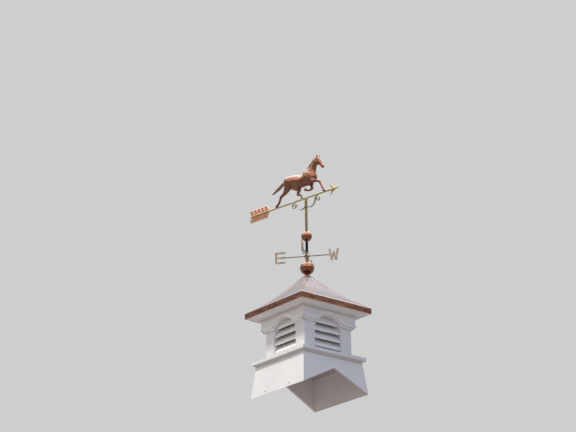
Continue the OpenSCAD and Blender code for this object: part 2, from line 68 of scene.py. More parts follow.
# Driving sizes, from the frame
EAVE = box("roof_panel_right")[1].x
EAVE_Z = box("roof_panel_front")[0].z
PEAK = box("peak_collar")[1].x
PEAK_Z = box("roof_panel_front")[1].z
BASE_R = box("base_wall_right")[1].x
BASE_H = box("base_wall_front")[1].z
BELT_Z = box("belt_front")[1].z
BOX_R = box("box_wall_right")[1].x
FRIEZE_FOOT = box("frieze_front")[0].z
CROWN_R = box("crown_right")[1].x
CROWN_Z = box("crown_front")[0].z
HUB_LOW = box("compass_arms")[0].z
HUB_HIGH = box("compass_arms")[1].z
SHAFT_TOP = box("arrow_shaft")[1].z

# Sizes that the frame doesn't give by itself, as in the CAD source
BASE_FLARE = 26
DRIP = 42
ROOF_HOLLOW = 0.45
ARCH_R = 116
ARCH_Z = 412
FRIEZE_MOULD = 16
FRIEZE_T = 23
CROWN_STRIP = 16
CROWN_EDGE = 7
SILL_RISE = 26
SLATS = 4
SLAT_FIRST = 14
SLAT_RISE = 60
SLAT_RUN = 34
SLAT_FACE = BOX_R - 8.3
ARM_RISE = 41
SHAFT_D = 13
TAIL = 535
VANE_TURN = math.radians(9)
COMPASS_TURN = math.radians(41)
DRIP_TOP = EAVE_Z + DRIP
ROOF_RISE = (PEAK_Z - DRIP_TOP) / ((1 - PEAK / EAVE) * (1 - ROOF_HOLLOW * PEAK / EAVE))


def spin(angle, axis="Z"):
    return Matrix.Rotation(angle, 4, axis)


def linked(name, data):
    """A new object in the scene."""
    obj = bpy.data.objects.new(name, data)
    scene.collection.objects.link(obj)
    return obj


# Camera, fitted to the photograph's edges: it stands far off, lower than the cupola, and looks up
CAMERA_AZIMUTH = math.radians(50.089)
CAMERA_DISTANCE = 11.4025
CAMERA_DROP = 3.2092
CAMERA_YAW = math.radians(-0.654)
CAMERA_PITCH = math.radians(21.741)
CAMERA_ROLL = math.radians(-0.769)
FOCAL_PX = 1719.67
PHOTO_W = 576
SENSOR = 36


def add_camera():
    data = bpy.data.cameras.new("camera")
    data.sensor_width = SENSOR
    data.lens = FOCAL_PX / PHOTO_W * SENSOR
    data.clip_start = 0.1
    data.clip_end = 100
    camera = linked("camera", data)
    stand = spin(CAMERA_AZIMUTH) @ Matrix.Translation((0, -CAMERA_DISTANCE, -CAMERA_DROP))
    camera.matrix_world = stand @ spin(-CAMERA_YAW) @ spin(QUARTER + CAMERA_PITCH, "X") @ spin(CAMERA_ROLL)
    scene.camera = camera


# Node helpers

class Nodes:
    """A node tree, built by short calls."""

    def __init__(self, tree, family="ShaderNode"):
        self.tree = tree
        self.family = family

    def add(self, kind, inputs=(), **settings):
        node = self.tree.nodes.new(self.family + kind)
        for key, value in settings.items():
            setattr(node, key, value)
        for key, value in dict(inputs).items():
            self.put(node.inputs[key], value)
        return node

    def put(self, socket, value):
        """Links a socket to another, or sets its value."""
        if isinstance(value, bpy.types.NodeSocket):
            self.tree.links.new(value, socket)
        else:
            socket.default_value = (*value, 1) if socket.type == "RGBA" else value

    def math(self, operation, a, b=0.0, clamp=False):
        return self.add("Math", {0: a, 1: b}, operation=operation, use_clamp=clamp).outputs[0]

    def vector(self, operation, a, b, out="Vector"):
        return self.add("VectorMath", {0: a, 1: b}, operation=operation).outputs[out]

    def mix(self, factor, a, b):
        return self.add("Mix", {"Factor": factor, 6: a, 7: b}, data_type="RGBA").outputs[2]

    def ramp(self, factor, *stops):
        """Numbers or colours at their places along a factor."""
        node = self.add("ValToRGB", {"Fac": factor})
        elements = node.color_ramp.elements
        while len(elements) < len(stops):
            elements.new(0.5)
        for element, (at, colour) in zip(elements, stops):
            element.position = at
            element.color = (*colour, 1) if isinstance(colour, tuple) else (colour, colour, colour, 1)
        return node.outputs["Color"]


class Shader(Nodes):
    """A material with one principled surface."""

    def __init__(self, name):
        self.material = bpy.data.materials.new(name)
        self.material.use_nodes = True
        super().__init__(self.material.node_tree)
        self.place = self.add("TexCoord").outputs["Object"]

    def part(self, vector, axis):
        return self.add("SeparateXYZ", {0: vector}).outputs[axis]

    def off_middle(self):
        """How far a point lies from the middle along X, and along Y."""
        return [self.math("ABSOLUTE", self.part(self.place, axis)) for axis in (0, 1)]

    def upward(self):
        return self.part(self.add("NewGeometry").outputs["Normal"], 2)

    def noise(self, scale, detail=4, stretch=None, rough=0.55, distort=0):
        place = self.place
        if stretch:
            place = self.add("Mapping", {"Vector": place, "Scale": stretch}).outputs[0]
        return self.add("TexNoise", {"Vector": place, "Scale": scale, "Detail": detail, "Roughness": rough,
                                     "Distortion": distort}).outputs["Fac"]

    def varied(self, scale, detail, low, high):
        """Noise between two numbers or colours."""
        return self.ramp(self.noise(scale, detail), (0.3, low), (0.7, high))

    def finished(self, values, height, distance, strength):
        """The material, with the surface's values and a bump."""
        bump = self.add("Bump", {"Height": height, "Distance": distance, "Strength": strength})
        surface = self.tree.nodes["Principled BSDF"]
        for name, value in {**values, "Normal": bump.outputs[0]}.items():
            self.put(surface.inputs[name], value)
        return self.material


def white_pvc(name, dim, bright):
    """White board with faint clouds and rain streaks and dust on its ledges, painted shade inside the box, deep
    in the louvres and on faces that look down below the belt, and darker bands at its joints for dirt and
    painted shade."""
    s = Shader(name)
    height = s.part(s.place, 2)
    upward = s.upward()
    streaks = s.ramp(s.noise(1, 5, (38, 38, 3.5), 0.6), (0.55, 0.0), (0.78, 0.22))
    stained = s.mix(streaks, s.varied(3.5, 5, dim, bright), (0.66, 0.64, 0.60))
    dust = s.math("MULTIPLY", s.ramp(upward, (0.5, 0.0), (0.85, 0.8)), s.varied(16, 6, 0.6, 1.0))
    dusty = s.mix(dust, stained, (0.57, 0.55, 0.51))
    level = s.vector("MULTIPLY", s.place, (1, 1, 0))
    outward = s.vector("DOT_PRODUCT", s.add("NewGeometry").outputs["Normal"], level, "Value")
    boxed = s.math("GREATER_THAN", height, BELT_Z * MM)
    # Painted shade: faces that look in towards the middle, above the belt, are darkened as if in the shade
    # inside the box
    inside = s.math("MULTIPLY", s.math("LESS_THAN", outward, -0.13), boxed)
    # Painted shade: darker the deeper a face lies in the louvre openings, for the shade in the recess
    depth = s.math("SUBTRACT", BOX_R * MM, s.math("MAXIMUM", *s.off_middle()))
    deep = s.ramp(s.math("MULTIPLY", depth, 20), (0.30, 0.0), (0.85, 0.14))
    # Darker bands at the belt, the base's top and the crown's foot: dirt, and painted shade in the creases
    joints = 1.0
    for z in (BELT_Z + 1, BASE_H, CROWN_Z):
        gap = s.math("ABSOLUTE", s.math("SUBTRACT", height, z * MM))
        joints = s.math("MINIMUM", joints, s.math("DIVIDE", gap, 7 * MM))
    seam = s.math("MULTIPLY", s.ramp(joints, (0.1, 0.5), (0.9, 0.0)), s.varied(40, 4, 0.35, 1.0))
    # Painted shade: faces that look down below the belt are darkened, for the shade under the belt
    under = s.math("MULTIPLY", s.math("LESS_THAN", upward, -0.25), s.math("LESS_THAN", height, BELT_Z * MM))
    # All the darkening together: painted shade, with the dirt at the joints
    dirt_and_painted_shade = s.math("MAXIMUM", deep, s.math("ADD", seam, s.math("MULTIPLY", under, 0.22)))
    dirt_and_painted_shade = s.math("MAXIMUM", dirt_and_painted_shade, s.math("MULTIPLY", inside, 0.8))
    return s.finished({"Base Color": s.mix(dirt_and_painted_shade, dusty, (0.30, 0.265, 0.235)), "Specular IOR Level": 0.2,
                       "Roughness": s.varied(30, 3, 0.34, 0.5)}, s.noise(420, 2), 0.0001, 0.5)


def sheet_copper():
    """Dulled copper sheet: cool grey amid a panel, pinker towards its hips, brown on the drip edge as
    weathering and painted dark reflection, and a pale band at the drip's top bend as a painted highlight.
    """
    s = Shader("roof_copper")
    reach = s.off_middle()
    far = s.math("MAXIMUM", *reach)
    hip = s.math("DIVIDE", s.math("MINIMUM", *reach), far)
    cloud = s.math("MULTIPLY", s.math("SUBTRACT", s.noise(6, 5, rough=0.6), 0.5), 0.7)
    tint = s.ramp(s.math("ADD", hip, cloud), (0.15, (0.300, 0.285, 0.305)), (0.55, (0.335, 0.290, 0.290)),
                  (0.95, (0.400, 0.318, 0.290)))
    streak = s.ramp(s.noise(1, 6, (14, 14, 45), 0.65, 0.5), (0.35, 0.0), (0.75, 0.55))
    near_peak = s.math("MULTIPLY", s.math("SUBTRACT", 0.16, far), 1.1, True)
    spots = s.ramp(s.math("ADD", s.noise(30, 6, rough=0.72), near_peak), (0.63, 0.0), (0.72, 0.75))
    aged = s.mix(spots, s.mix(streak, tint, (0.34, 0.315, 0.325)), (0.20, 0.115, 0.085))
    # Brown on the drip edge below its top: weathering, and a painted reflection of the dark surroundings a drip
    # face mirrors
    height = s.math("ADD", s.part(s.place, 2), s.math("MULTIPLY", s.noise(18, 4), 3 * MM))
    above = s.math("DIVIDE", s.math("SUBTRACT", height, (DRIP_TOP - 6) * MM), 6 * MM, True)
    brown = s.ramp(s.noise(1, 6, (24, 24, 60), 0.68), (0.32, (0.105, 0.045, 0.030)),
                   (0.52, (0.215, 0.105, 0.070)), (0.70, (0.380, 0.190, 0.125)))
    edged = s.mix(s.ramp(above, (0.1, 1.0), (0.7, 0.0)), aged, brown)
    # Painted highlight: a pale band along the bend at the top of the drip
    off_rim = s.math("ABSOLUTE", s.math("SUBTRACT", height, (DRIP_TOP + 1.5) * MM))
    rim = s.ramp(s.math("DIVIDE", off_rim, 6 * MM, True), (0.2, 0.75), (0.8, 0.0))
    waves = s.math("ADD", s.noise(5, 2), s.math("MULTIPLY", s.noise(60, 3), 0.06))
    return s.finished({"Base Color": s.mix(rim, edged, (0.66, 0.55, 0.47)), "Metallic": 1.0,
                       "Roughness": s.varied(14, 5, 0.36, 0.48), "Specular Tint": (0.62, 0.60, 0.62)},
                      waves, 0.004, 0.35)


def metal(name, light, dark, rough, scale=18, bump=0.0002, coat=0.0, spots=None, top_painted_highlight=None):
    """A metal with its tone worked from light to dark, darker spots where it has tarnished, and a paler tone
    on top, a painted highlight that stands for the light from above."""
    s = Shader(name)
    tone = s.ramp(s.noise(scale, 6, rough=0.62), (0.3, dark), (0.68, light))
    if spots:
        tone = s.mix(s.ramp(s.noise(scale * 4, 5, rough=0.7), (0.56, 0.0), (0.7, 0.85)), tone, spots)
    # Painted highlight: upward faces get a paler tone, for the light from above
    if top_painted_highlight:
        uneven = s.math("MULTIPLY", s.math("SUBTRACT", s.noise(scale * 2, 4), 0.5), 0.5)
        tone = s.mix(s.ramp(s.math("ADD", s.upward(), uneven), (0.3, 0.0), (0.9, 0.9)), tone, top_painted_highlight)
    return s.finished({"Base Color": tone, "Metallic": 1.0, "Roughness": s.varied(scale * 1.7, 4, *rough),
                       "Coat Weight": coat, "Coat Roughness": 0.08, "Coat IOR": 1.6},
                      s.noise(scale * 12, 3), bump, 0.6)


def painted_steel():
    s = Shader("dark_steel")
    black = s.ramp(s.noise(60, 5), (0.35, (0.006, 0.007, 0.006)), (0.75, (0.02, 0.019, 0.017)))
    values = {"Base Color": black, "Roughness": s.varied(90, 3, 0.2, 0.38), "Specular IOR Level": 0.12}
    return s.finished(values, s.noise(700, 2), 0.0001, 0.4)


def pine():
    s = Shader("deck_wood")
    grain = s.noise(1, 5, (7, 120, 120), 0.6, 0.4)
    wood = s.ramp(grain, (0.3, (0.43, 0.29, 0.165)), (0.7, (0.60, 0.44, 0.27)))
    dull = s.ramp(s.noise(9, 5), (0.4, 0.0), (0.75, 0.4))
    return s.finished({"Base Color": s.mix(dull, wood, (0.33, 0.23, 0.14)),
                       "Roughness": s.ramp(grain, (0.2, 0.75), (0.8, 0.6))}, grain, 0.0006, 0.5)


# Light and dark tone, lowest and highest roughness, then, where they differ from the usual ones, the scale,
# bump, coat, spots' tone and the pale tone of a painted highlight on top
METALS = {
    "dark_copper": ((0.30, 0.16, 0.12), (0.14, 0.06, 0.04), (0.25, 0.4)),
    "ball_copper": ((0.225, 0.082, 0.041), (0.15, 0.048, 0.023), (0.08, 0.16), 14, 0.0001, 0.25,
                    (0.09, 0.035, 0.018), (0.58, 0.40, 0.32)),
    "brass": ((0.45, 0.355, 0.175), (0.27, 0.20, 0.085), (0.18, 0.32), 26, 0.0001, 0.2, (0.18, 0.11, 0.05)),
    "mast_brass": ((0.25, 0.21, 0.11), (0.135, 0.105, 0.05), (0.2, 0.34), 26, 0.0001, 0.2,
                   (0.12, 0.07, 0.035)),
    "hub_brass": ((0.30, 0.22, 0.155), (0.15, 0.10, 0.065), (0.2, 0.34), 26, 0.0001, 0.15,
                  (0.12, 0.06, 0.035)),
    "letter_brass": ((0.39, 0.317, 0.255), (0.265, 0.20, 0.155), (0.25, 0.42), 30, 0.0002, 0.1),
    "feather_copper": ((0.64, 0.36, 0.26), (0.46, 0.22, 0.15), (0.2, 0.34), 30, 0.0002, 0.1),
    "horse_copper": ((0.22, 0.093, 0.051), (0.120, 0.046, 0.027), (0.20, 0.34), 22, 0.0003, 0.15,
                     (0.065, 0.028, 0.018), (0.50, 0.35, 0.28)),
    "horse_hair": ((0.28, 0.15, 0.085), (0.15, 0.07, 0.04), (0.26, 0.4), 34, 0.0003, 0.1,
                   (0.08, 0.035, 0.022), (0.36, 0.23, 0.16)),
}
MATERIALS = {name: metal(name, *values) for name, values in METALS.items()}
MATERIALS["white_pvc"] = white_pvc("white_pvc", (0.80, 0.80, 0.81), (0.87, 0.87, 0.875))
# A lighter copy of the white board, as painted light on the louvres, crown and trims that catch more light
MATERIALS["white_pvc_painted_light"] = white_pvc("white_pvc_painted_light", (0.88, 0.88, 0.885), (0.94, 0.94, 0.94))
MATERIALS["roof_copper"] = sheet_copper()
MATERIALS["deck_wood"] = pine()
MATERIALS["dark_steel"] = painted_steel()

NODE_SLOTS = {row["node"]: row["material_slot"] for row in frame["record"]["subparts"]}


# Mesh helpers

SHARP = math.radians(32)


def soft_edges():
    """A modifier tree that shades smooth, apart from sharp edges."""
    tree = bpy.data.node_groups.new("soft_edges", "GeometryNodeTree")
    for way in ("INPUT", "OUTPUT"):
        tree.interface.new_socket("Geometry", in_out=way, socket_type="NodeSocketGeometry")
    t = Nodes(tree, "")
    faces = t.add("GeometryNodeSetShadeSmooth", {"Geometry": t.add("NodeGroupInput").outputs[0]})
    bend = t.add("GeometryNodeInputMeshEdgeAngle").outputs["Unsigned Angle"]
    sharp = t.add("FunctionNodeCompare", {"A": bend, "B": SHARP}, operation="GREATER_THAN")
    edges = t.add("GeometryNodeSetShadeSmooth", {"Geometry": faces.outputs[0], "Selection": sharp.outputs[0],
                                                 "Shade Smooth": False}, domain="EDGE")
    t.add("NodeGroupOutput", {0: edges.outputs[0]})
    return tree


SOFT_EDGES = soft_edges()


def soften(obj):
    obj.modifiers.new("soft_edges", "NODES").node_group = SOFT_EDGES


def round_off(obj, width):
    """Rounds an object's hard edges by modifiers, over a width in millimetres, and leaves its mesh alone."""
    obj.modifiers.new("weld", "WELD").merge_threshold = 0.01 * MM
    flat = obj.modifiers.new("flat", "DECIMATE")
    flat.decimate_type = "DISSOLVE"
    flat.angle_limit = math.radians(0.5)
    bevel = obj.modifiers.new("bevel", "BEVEL")
    bevel.width = width * MM
    bevel.segments = 2
    bevel.limit_method = "ANGLE"
    bevel.angle_limit = SHARP
    soften(obj)
    obj.modifiers.new("shade", "WEIGHTED_NORMAL").keep_sharp = True


def paint(obj, material):
    obj.data.materials.clear()
    obj.data.materials.append(MATERIALS[material])


def piece(name, heap, slot, body, replaced=(), place=Matrix(), look=None, shade="smooth"):
    """A new piece of the object, in its slot's material or another look, shaded smooth, flat or soft."""
    mesh = bpy.data.meshes.new(name)
    mesh.from_pydata([tuple(v * MM) for v in heap.verts], [], heap.faces)
    mesh.validate()
    if shade != "flat":
        mesh.shade_smooth()
    obj = linked(name, mesh)
    obj.matrix_world = place
    paint(obj, look or slot)
    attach(obj, body)
    if replaced:
        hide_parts(*replaced)
    if shade == "soft":
        soften(obj)
    return obj


class Heap:
    """Points and faces of several solids that make one piece."""

    def __init__(self):
        self.verts = []
        self.faces = []

    def add(self, verts, faces, place=Matrix(), flip=False):
        start = len(self.verts)
        self.verts += [place @ Vector(v) for v in verts]
        self.faces += [[start + i for i in (f[::-1] if flip else f)] for f in faces]

    def loft(self, rings, place=Matrix(), closed=False):
        """Joins rings of as many points each, and closes the ends unless the rings close on themselves."""
        n = len(rings[0])
        last = len(rings) - 1
        faces = []
        for i in range(last + closed):
            a = i * n
            b = (i + 1) % len(rings) * n
            faces += [[a + j, a + (j + 1) % n, b + (j + 1) % n, b + j] for j in range(n)]
        if not closed:
            faces += [list(range(n))[::-1], [last * n + j for j in range(n)]]
        self.add([p for ring in rings for p in ring], faces, place)

    def lathe(self, profile, place=Matrix(), sides=64, closed=False):
        """Turns a profile of (radius, height) points, foot to top, about Z, into a plug or a closed ring."""
        self.loft([[(x, y, z) for x, y in circle(r, sides)] for r, z in profile], place, closed)

    def run(self, section):
        """Draws a section of (distance out, height) points along the front, mitred at both corners."""
        self.loft([[(side * w, -w, z) for w, z in section] for side in (-1, 1)])

    def turned(self, k):
        """The same solids on another side."""
        heap = Heap()
        heap.add(self.verts, self.faces, spin(k * QUARTER))
        return heap


def circle(radius, sides, deep=None):
    """Points round a circle, or round an ellipse."""
    angles = [2 * math.pi * j / sides for j in range(sides)]
    return [(radius * math.cos(a), (deep or radius) * math.sin(a)) for a in angles]


def arc(middle, radius, angle):
    """The point on a circle at an angle in degrees."""
    a = math.radians(angle)
    return middle[0] + radius * math.cos(a), middle[1] + radius * math.sin(a)


def grid(down, across):
    """Faces between rows of points."""
    wide = across + 1
    return [[v * wide + u, v * wide + u + 1, (v + 1) * wide + u + 1, (v + 1) * wide + u]
            for v in range(down) for u in range(across)]


def smooth_path(points, per_step):
    """A smooth line through points of any number of values."""
    ends = [points[0], *points, points[-1]]
    out = []
    for a, b, c, d in zip(ends, ends[1:], ends[2:], ends[3:]):
        for s in range(per_step):
            t = s / per_step
            out.append(tuple(0.5 * (2 * q + (r - p) * t + (2 * p - 5 * q + 4 * r - u) * t * t
                                    + (3 * q - p - 3 * r + u) * t ** 3) for p, q, r, u in zip(a, b, c, d)))
    return out + [tuple(points[-1])]


def rounded_bar(across, deep, radius):
    """The section of a bar with rounded edges, as (aside, up) points."""
    corners = ((1, 1, 0), (-1, 1, 90), (-1, -1, 180), (1, -1, 270))
    return [arc((sx * (across / 2 - radius), sy * (deep / 2 - radius)), radius, start + 22.5 * i)
            for sx, sy, start in corners for i in range(5)]


def swept(heap, points, section, scales=None, place=Matrix()):
    """Sweeps a section of (aside, up) points along a line in the XZ plane, with mitred corners."""
    normals = []
    for (ax, az), (bx, bz) in zip(points, points[1:]):
        size = math.hypot(bx - ax, bz - az)
        normals.append(((az - bz) / size, (bx - ax) / size))
    rings = []
    for i, (x, z) in enumerate(points):
        ax, az = normals[max(i - 1, 0)]
        bx, bz = normals[min(i, len(normals) - 1)]
        size = math.hypot(ax + bx, az + bz)
        nx, nz = (ax + bx) / size, (az + bz) / size
        scale = scales[i] if scales else 1.0
        lift = scale * min(1 / (nx * ax + nz * az), 1.6)
        rings.append([(x + nx * up * lift, aside * scale, z + nz * up * lift) for aside, up in section])
    heap.loft(rings, place)


def screw_head(heap, at, normal, radius, cross, turn=Matrix()):
    """A domed screw head with a cross recess."""
    rings = []
    dome = ((1, -0.25), (1, 0), (0.92, 0.1), (0.78, 0.22), (0.6, 0.31), (0.45, 0.36), (0.3, 0.40),
            (0.12, 0.42), (0.01, 0.42))
    for share, height in dome:
        rings.append([])
        for a in (2 * math.pi * j / 32 for j in range(32)):
            recess = share < 0.5 and min(abs(math.sin(a + cross)), abs(math.cos(a + cross))) * share < 0.11
            rings[-1].append((share * math.cos(a), share * math.sin(a), height - 0.26 * recess))
    place = (turn @ Vector(normal)).to_track_quat("Z", "Y").to_matrix().to_4x4()
    place.translation = turn @ Vector(at)
    heap.loft(rings, place @ Matrix.Scale(radius, 4))


# Cupola

EDGES = {"base_wall": 1.6, "belt": 1.4, "box_wall": 1.4, "louvre": 0.8, "frieze": 1.2, "crown": 1.0,
         "roof_deck": 1.5, "mast_board": 2, "letter": 0.9}
# Louvres and crown wear the lighter copy of the white board, as painted light
LOOKS = {"vane_tube": "mast_brass", "louvre": "white_pvc_painted_light", "crown": "white_pvc_painted_light"}


def by_start(table, name, otherwise):
    """A table's entry for the start of a name."""
    return next((value for key, value in table.items() if name.startswith(key)), otherwise)


def dress_frame():
    """Rounds and paints the CAD nodes that stay."""
    for name, obj in nodes.items():
        paint(obj, by_start(LOOKS, name, NODE_SLOTS[name]))
        round_off(obj, by_start(EDGES, name, 0.6))


def roof_height(w):
    t = max(1 - w / EAVE, 0)
    return DRIP_TOP + ROOF_RISE * t * (1 - ROOF_HOLLOW * (1 - t))


def roof_fall(w):
    return ROOF_RISE / EAVE * (1 - ROOF_HOLLOW * (2 * w / EAVE - 1))


def roof_sheet(k):
    """One copper panel, turned down at the drip, with a lip at its foot and a lap round one hip."""
    bend = 5
    top = roof_height(EAVE - bend)
    steps = 30
    # Rows of (distance out, height, outward and upward part of the normal): panel, bend, drip, lip
    rows = []
    for i in range(steps + 1):
        w = PEAK + (EAVE - bend - PEAK) * (i / steps) ** 0.85
        size = math.hypot(1, roof_fall(w))
        rows.append((w, roof_height(w), roof_fall(w) / size, 1 / size))
    for a in (25, 45, 65, 80):
        up, out = arc((0, 0), 1, a)
        rows.append((EAVE - bend + bend * out, top - bend * 1.25 * (1 - up), out, up))
    face_top = top - 1.4 * bend
    face_foot = EAVE_Z + 2
    for t in (0, 0.35, 0.7, 1):
        rows.append((EAVE, face_top - t * (face_top - face_foot), 1, 0))
    for a in (30, 60, 90):
        out, down = arc((0, 0), 1, a)
        rows.append((EAVE - 1.2 * (1 - out), face_foot - 1.8 * down, out, -down))
    rows.append((EAVE - 8, EAVE_Z + 0.4, 0, -1))
    columns = 20
    lap = 15
    calm_edge = 50
    verts = []
    for w, z, out, up in rows:
        verts += [(-w - out, -w + t * lap - (0 if t else out), z + up) for t in (1, 0.5, 0)]
        for j in range(columns + 1):
            s = 2 * j / columns - 1
            calm = (1 - s * s) * min(1, max(0, (EAVE - w) / calm_edge)) * min(1, (w - PEAK) / calm_edge)
            wave = 1.6 * calm * noise.noise(Vector((s * 1.7 + 5 * k, w * 0.011, 3.1 * k)))
            verts.append((s * w, -w - out * wave, z + up * wave))
    sheet = Heap()
    sheet.add(verts, grid(len(rows) - 1, columns + 3), spin(k * QUARTER), flip=True)
    obj = piece(f"roof_sheet_{SIDES[k]}", sheet, "roof_copper", "cupola", [f"roof_panel_{SIDES[k]}"])
    thick = obj.modifiers.new("thick", "SOLIDIFY")
    thick.thickness = 0.8 * MM
    thick.offset = -1
    soften(obj)


def frieze_beads():
    """The two rounded edges of the moulding along the frieze's foot and round its arch."""
    heap = Heap()
    for inset, off, wide, proud in ((FRIEZE_MOULD + 6.5, FRIEZE_T, 8, 3.2), (7.2, 9.5, 6.8, 5.5)):
        foot = FRIEZE_FOOT + inset
        arch = ARCH_R + inset
        start = math.degrees(math.asin((foot - ARCH_Z) / arch))
        face = BOX_R + off
        path = [(-face, foot), (-0.85 * face, foot)]
        path += [arc((0, ARCH_Z), arch, 180 - start - (180 - 2 * start) * i / 40) for i in range(41)]
        path += [(0.85 * face, foot), (face, foot)]
        first = len(heap.verts)
        swept(heap, path, circle(proud, 20, wide), place=Matrix.Translation((0, -face, 0)))
        # The end rings are slanted on to the mitre of the corner
        for v in heap.verts[first:]:
            if abs(v.x) > 0.99 * face:
                v.x = math.copysign(-v.y, v.x)
    return heap


def slat_noses():
    """The raised front edge of each slat, fitted to the arch."""
    heap = Heap()
    slope = math.hypot(SLAT_RUN, SLAT_RISE)
    across = SLAT_RUN / slope
    up = SLAT_RISE / slope
    first = BELT_Z + SILL_RISE + SLAT_FIRST
    pitch = (ARCH_Z + ARCH_R - first) / SLATS
    profile = [(0.5, -0.8), (-4.2, -2.6), (-5.2, -1.6), (-6.0, 0.2), (-5.6, 1.4), (-0.8, 4.0), (0.4, 4.4),
               (24, 4.4), (25.4, 3.9), (26, 2.8), (26, -0.8)]
    for i in range(SLATS):
        section = []
        for along, off in profile:
            z = first + i * pitch + along * up + off * across
            half = math.sqrt(ARCH_R ** 2 - max(z - ARCH_Z, 0) ** 2) - 1.2
            section.append((half, along * across - off * up - SLAT_FACE, z))
        heap.loft([[(side * half, y, z) for half, y, z in section] for side in (-1, 1)])
    return heap


def crown_beads():
    """Two rounded beads under the eaves: one at the crown's foot, one at the inner edge of its flat strip."""
    heap = Heap()
    for w, z, radius in ((CROWN_R - CROWN_STRIP, EAVE_Z - CROWN_EDGE + 0.5, 4.5),
                         (BOX_R + FRIEZE_T + 9, CROWN_Z + 1, 5.5)):
        heap.run([(w + x, z - y) for x, y in circle(radius, 20)])
    return heap


def soffit_strip():
    """The white strip that closes the eaves between the crown and the drip."""
    inner = CROWN_R + 2.5
    outer = EAVE - 3.5
    low = EAVE_Z - 3
    heap = Heap()
    heap.run([(inner, EAVE_Z), (inner, low + 1.2), (inner + 0.4, low + 0.4), (inner + 1.2, low),
              (outer - 1.5, low), (outer - 0.4, low + 0.5), (outer, low + 1.5), (outer, EAVE_Z)])
    return heap


def trims():
    """The white pieces that each side has alike."""
    kinds = (("frieze_beads", frieze_beads(), "smooth"), ("slat_noses", slat_noses(), "flat"),
             ("crown_beads", crown_beads(), "soft"), ("soffit_strip", soffit_strip(), "flat"))
    for k in range(4):
        for name, heap, shade in kinds:
            # The trims wear the lighter copy of the white board, as painted light
            piece(f"{name}_{SIDES[k]}", heap.turned(k), "white_pvc", "cupola", look="white_pvc_painted_light", shade=shade)


def fasteners():
    """Screws in the front and back base boards, and in the roof's panels, drip edges and corners."""
    walls = Heap()
    lean = math.atan2(BASE_FLARE, BASE_H)
    for k in (0, 2):
        for x, z, cross in ((-126, 22, 0.3), (126, 23, 1.0)):
            at = (x, -BASE_R + BASE_FLARE * z / BASE_H, z)
            screw_head(walls, at, (0, -math.cos(lean), math.sin(lean)), 4.6, cross, spin(k * QUARTER))
    piece("wall_screws", walls, "dark_steel", "cupola", shade="flat")
    row_w = 215
    at_row = (-row_w, roof_height(row_w))
    screws = [((x, *at_row), (0, -roof_fall(row_w), 1), 3.6, cross) for x, cross in ((-187, 0.2), (144, 0.9))]
    screws += [((x, -EAVE, EAVE_Z + 16), (0, -1, 0), 3.4, 0.5) for x in (0, 291)]
    screws += [((EAVE - 8, -EAVE - 1, EAVE_Z + z), (0, -1, 0), 2.6, 0.1) for z in (14, 26)]
    roof = Heap()
    for k in range(4):
        for screw in screws:
            screw_head(roof, *screw, spin(k * QUARTER))
    piece("roof_screws", roof, "dark_copper", "cupola", shade="flat")


def spun_ball(name, node):
    """A ball of two spun halves, with the lip of its seam rolled over and a shallow collar at each pole."""
    low, high = box(node)
    radius = high.x - 1
    half = (high.z - low.z) / 2
    limit = math.degrees(math.asin(half / radius))
    curve = [arc((0, 0), radius, limit * (i / 22 - 1)) for i in range(45)]
    pole = curve[0][0]
    foot = [(pole * 0.75, -half), (pole * 0.98, -half), (pole * 1.04, -half + 1), (pole, -half + 2.2)]
    lower = foot + [(r, z) for r, z in curve if 2.4 - half < z < -1.6]
    # The lip of the seam
    lower += [(radius + 0.1, -1.5), (radius + 0.8, -1.3), (radius + 1.1, -0.6)]
    heap = Heap()
    heap.lathe(lower + [(r, -z) for r, z in lower[::-1]], sides=96)
    middle = Matrix.Translation((0, 0, (low.z + high.z) / 2 * MM))
    piece(name, heap, "ball_copper", "cupola", [node], middle)


def peak_cap():
    """The square copper cap on the peak with its soldered collar."""
    heap = Heap()
    low, high = box("peak_collar")
    plate = rounded_bar(2 * PEAK, 2 * PEAK, 3)
    skirt = rounded_bar(2 * PEAK + 5, 2 * PEAK + 5, 4)
    heap.loft([[(x, y, low.z - 4) for x, y in skirt], [(x, y, low.z + 0.4) for x, y in plate],
               [(x * 0.97, y * 0.97, low.z + 1.5) for x, y in plate]])
    r = 13.5
    heap.lathe([(r + 5, low.z + 1.2), (r + 2.5, low.z + 1.9), (r + 0.6, low.z + 3.4), (r, low.z + 5),
                (r, high.z - 1.6), (r - 0.4, high.z - 0.5), (r - 1.4, high.z), (r - 4, high.z)])
    piece("peak_cap", heap, "dark_copper", "cupola", ["peak_collar"])


ALONG = spin(QUARTER, "Y")


def compass():
    """The turned hub and its four arms."""
    heap = Heap()
    hub = [(11, 0), (14.4, 0), (15, 0.8), (15, 5), (14.4, 6), (12.6, 6.6), (12.3, 8), (12.3, 24),
           (13.4, 25.5), (13.4, 27), (14.5, 29)]
    for a in range(-35, 36, 7):
        x, z = arc((0, 0), 19, a)
        hub.append((x - 0.2, 41 + z * 0.92))
    hub += [(14.0, 53.4), (13.4, 55), (12.6, 56), (12.3, 58), (12.6, 59.6), (14.4, 60), (15, 61), (15, 65.2),
            (14.4, 66), (11, 66)]
    stretch = (HUB_HIGH - HUB_LOW) / hub[-1][1]
    heap.lathe([(r, z * stretch + HUB_LOW) for r, z in hub])
    arm = [(3, 15), (5.6, 15), (5.8, 16), (5.8, 22), (5.2, 23.4), (4.2, 24.2), (4, 26), (4, 147),
           (4.8, 147.6), (5, 149), (5, 153.4), (4.6, 154.6), (3, 155)]
    for k in range(4):
        root = spin(COMPASS_TURN + k * QUARTER) @ Matrix.Translation((0, 0, HUB_LOW + ARM_RISE))
        heap.lathe(arm, root @ ALONG, 28)
    piece("compass_hub", heap, "brass", "cupola", ["compass_arms"], look="hub_brass")


# Vane

VANE = spin(VANE_TURN) @ Matrix.Translation((0, 0, (SHAFT_TOP - SHAFT_D / 2) * MM))


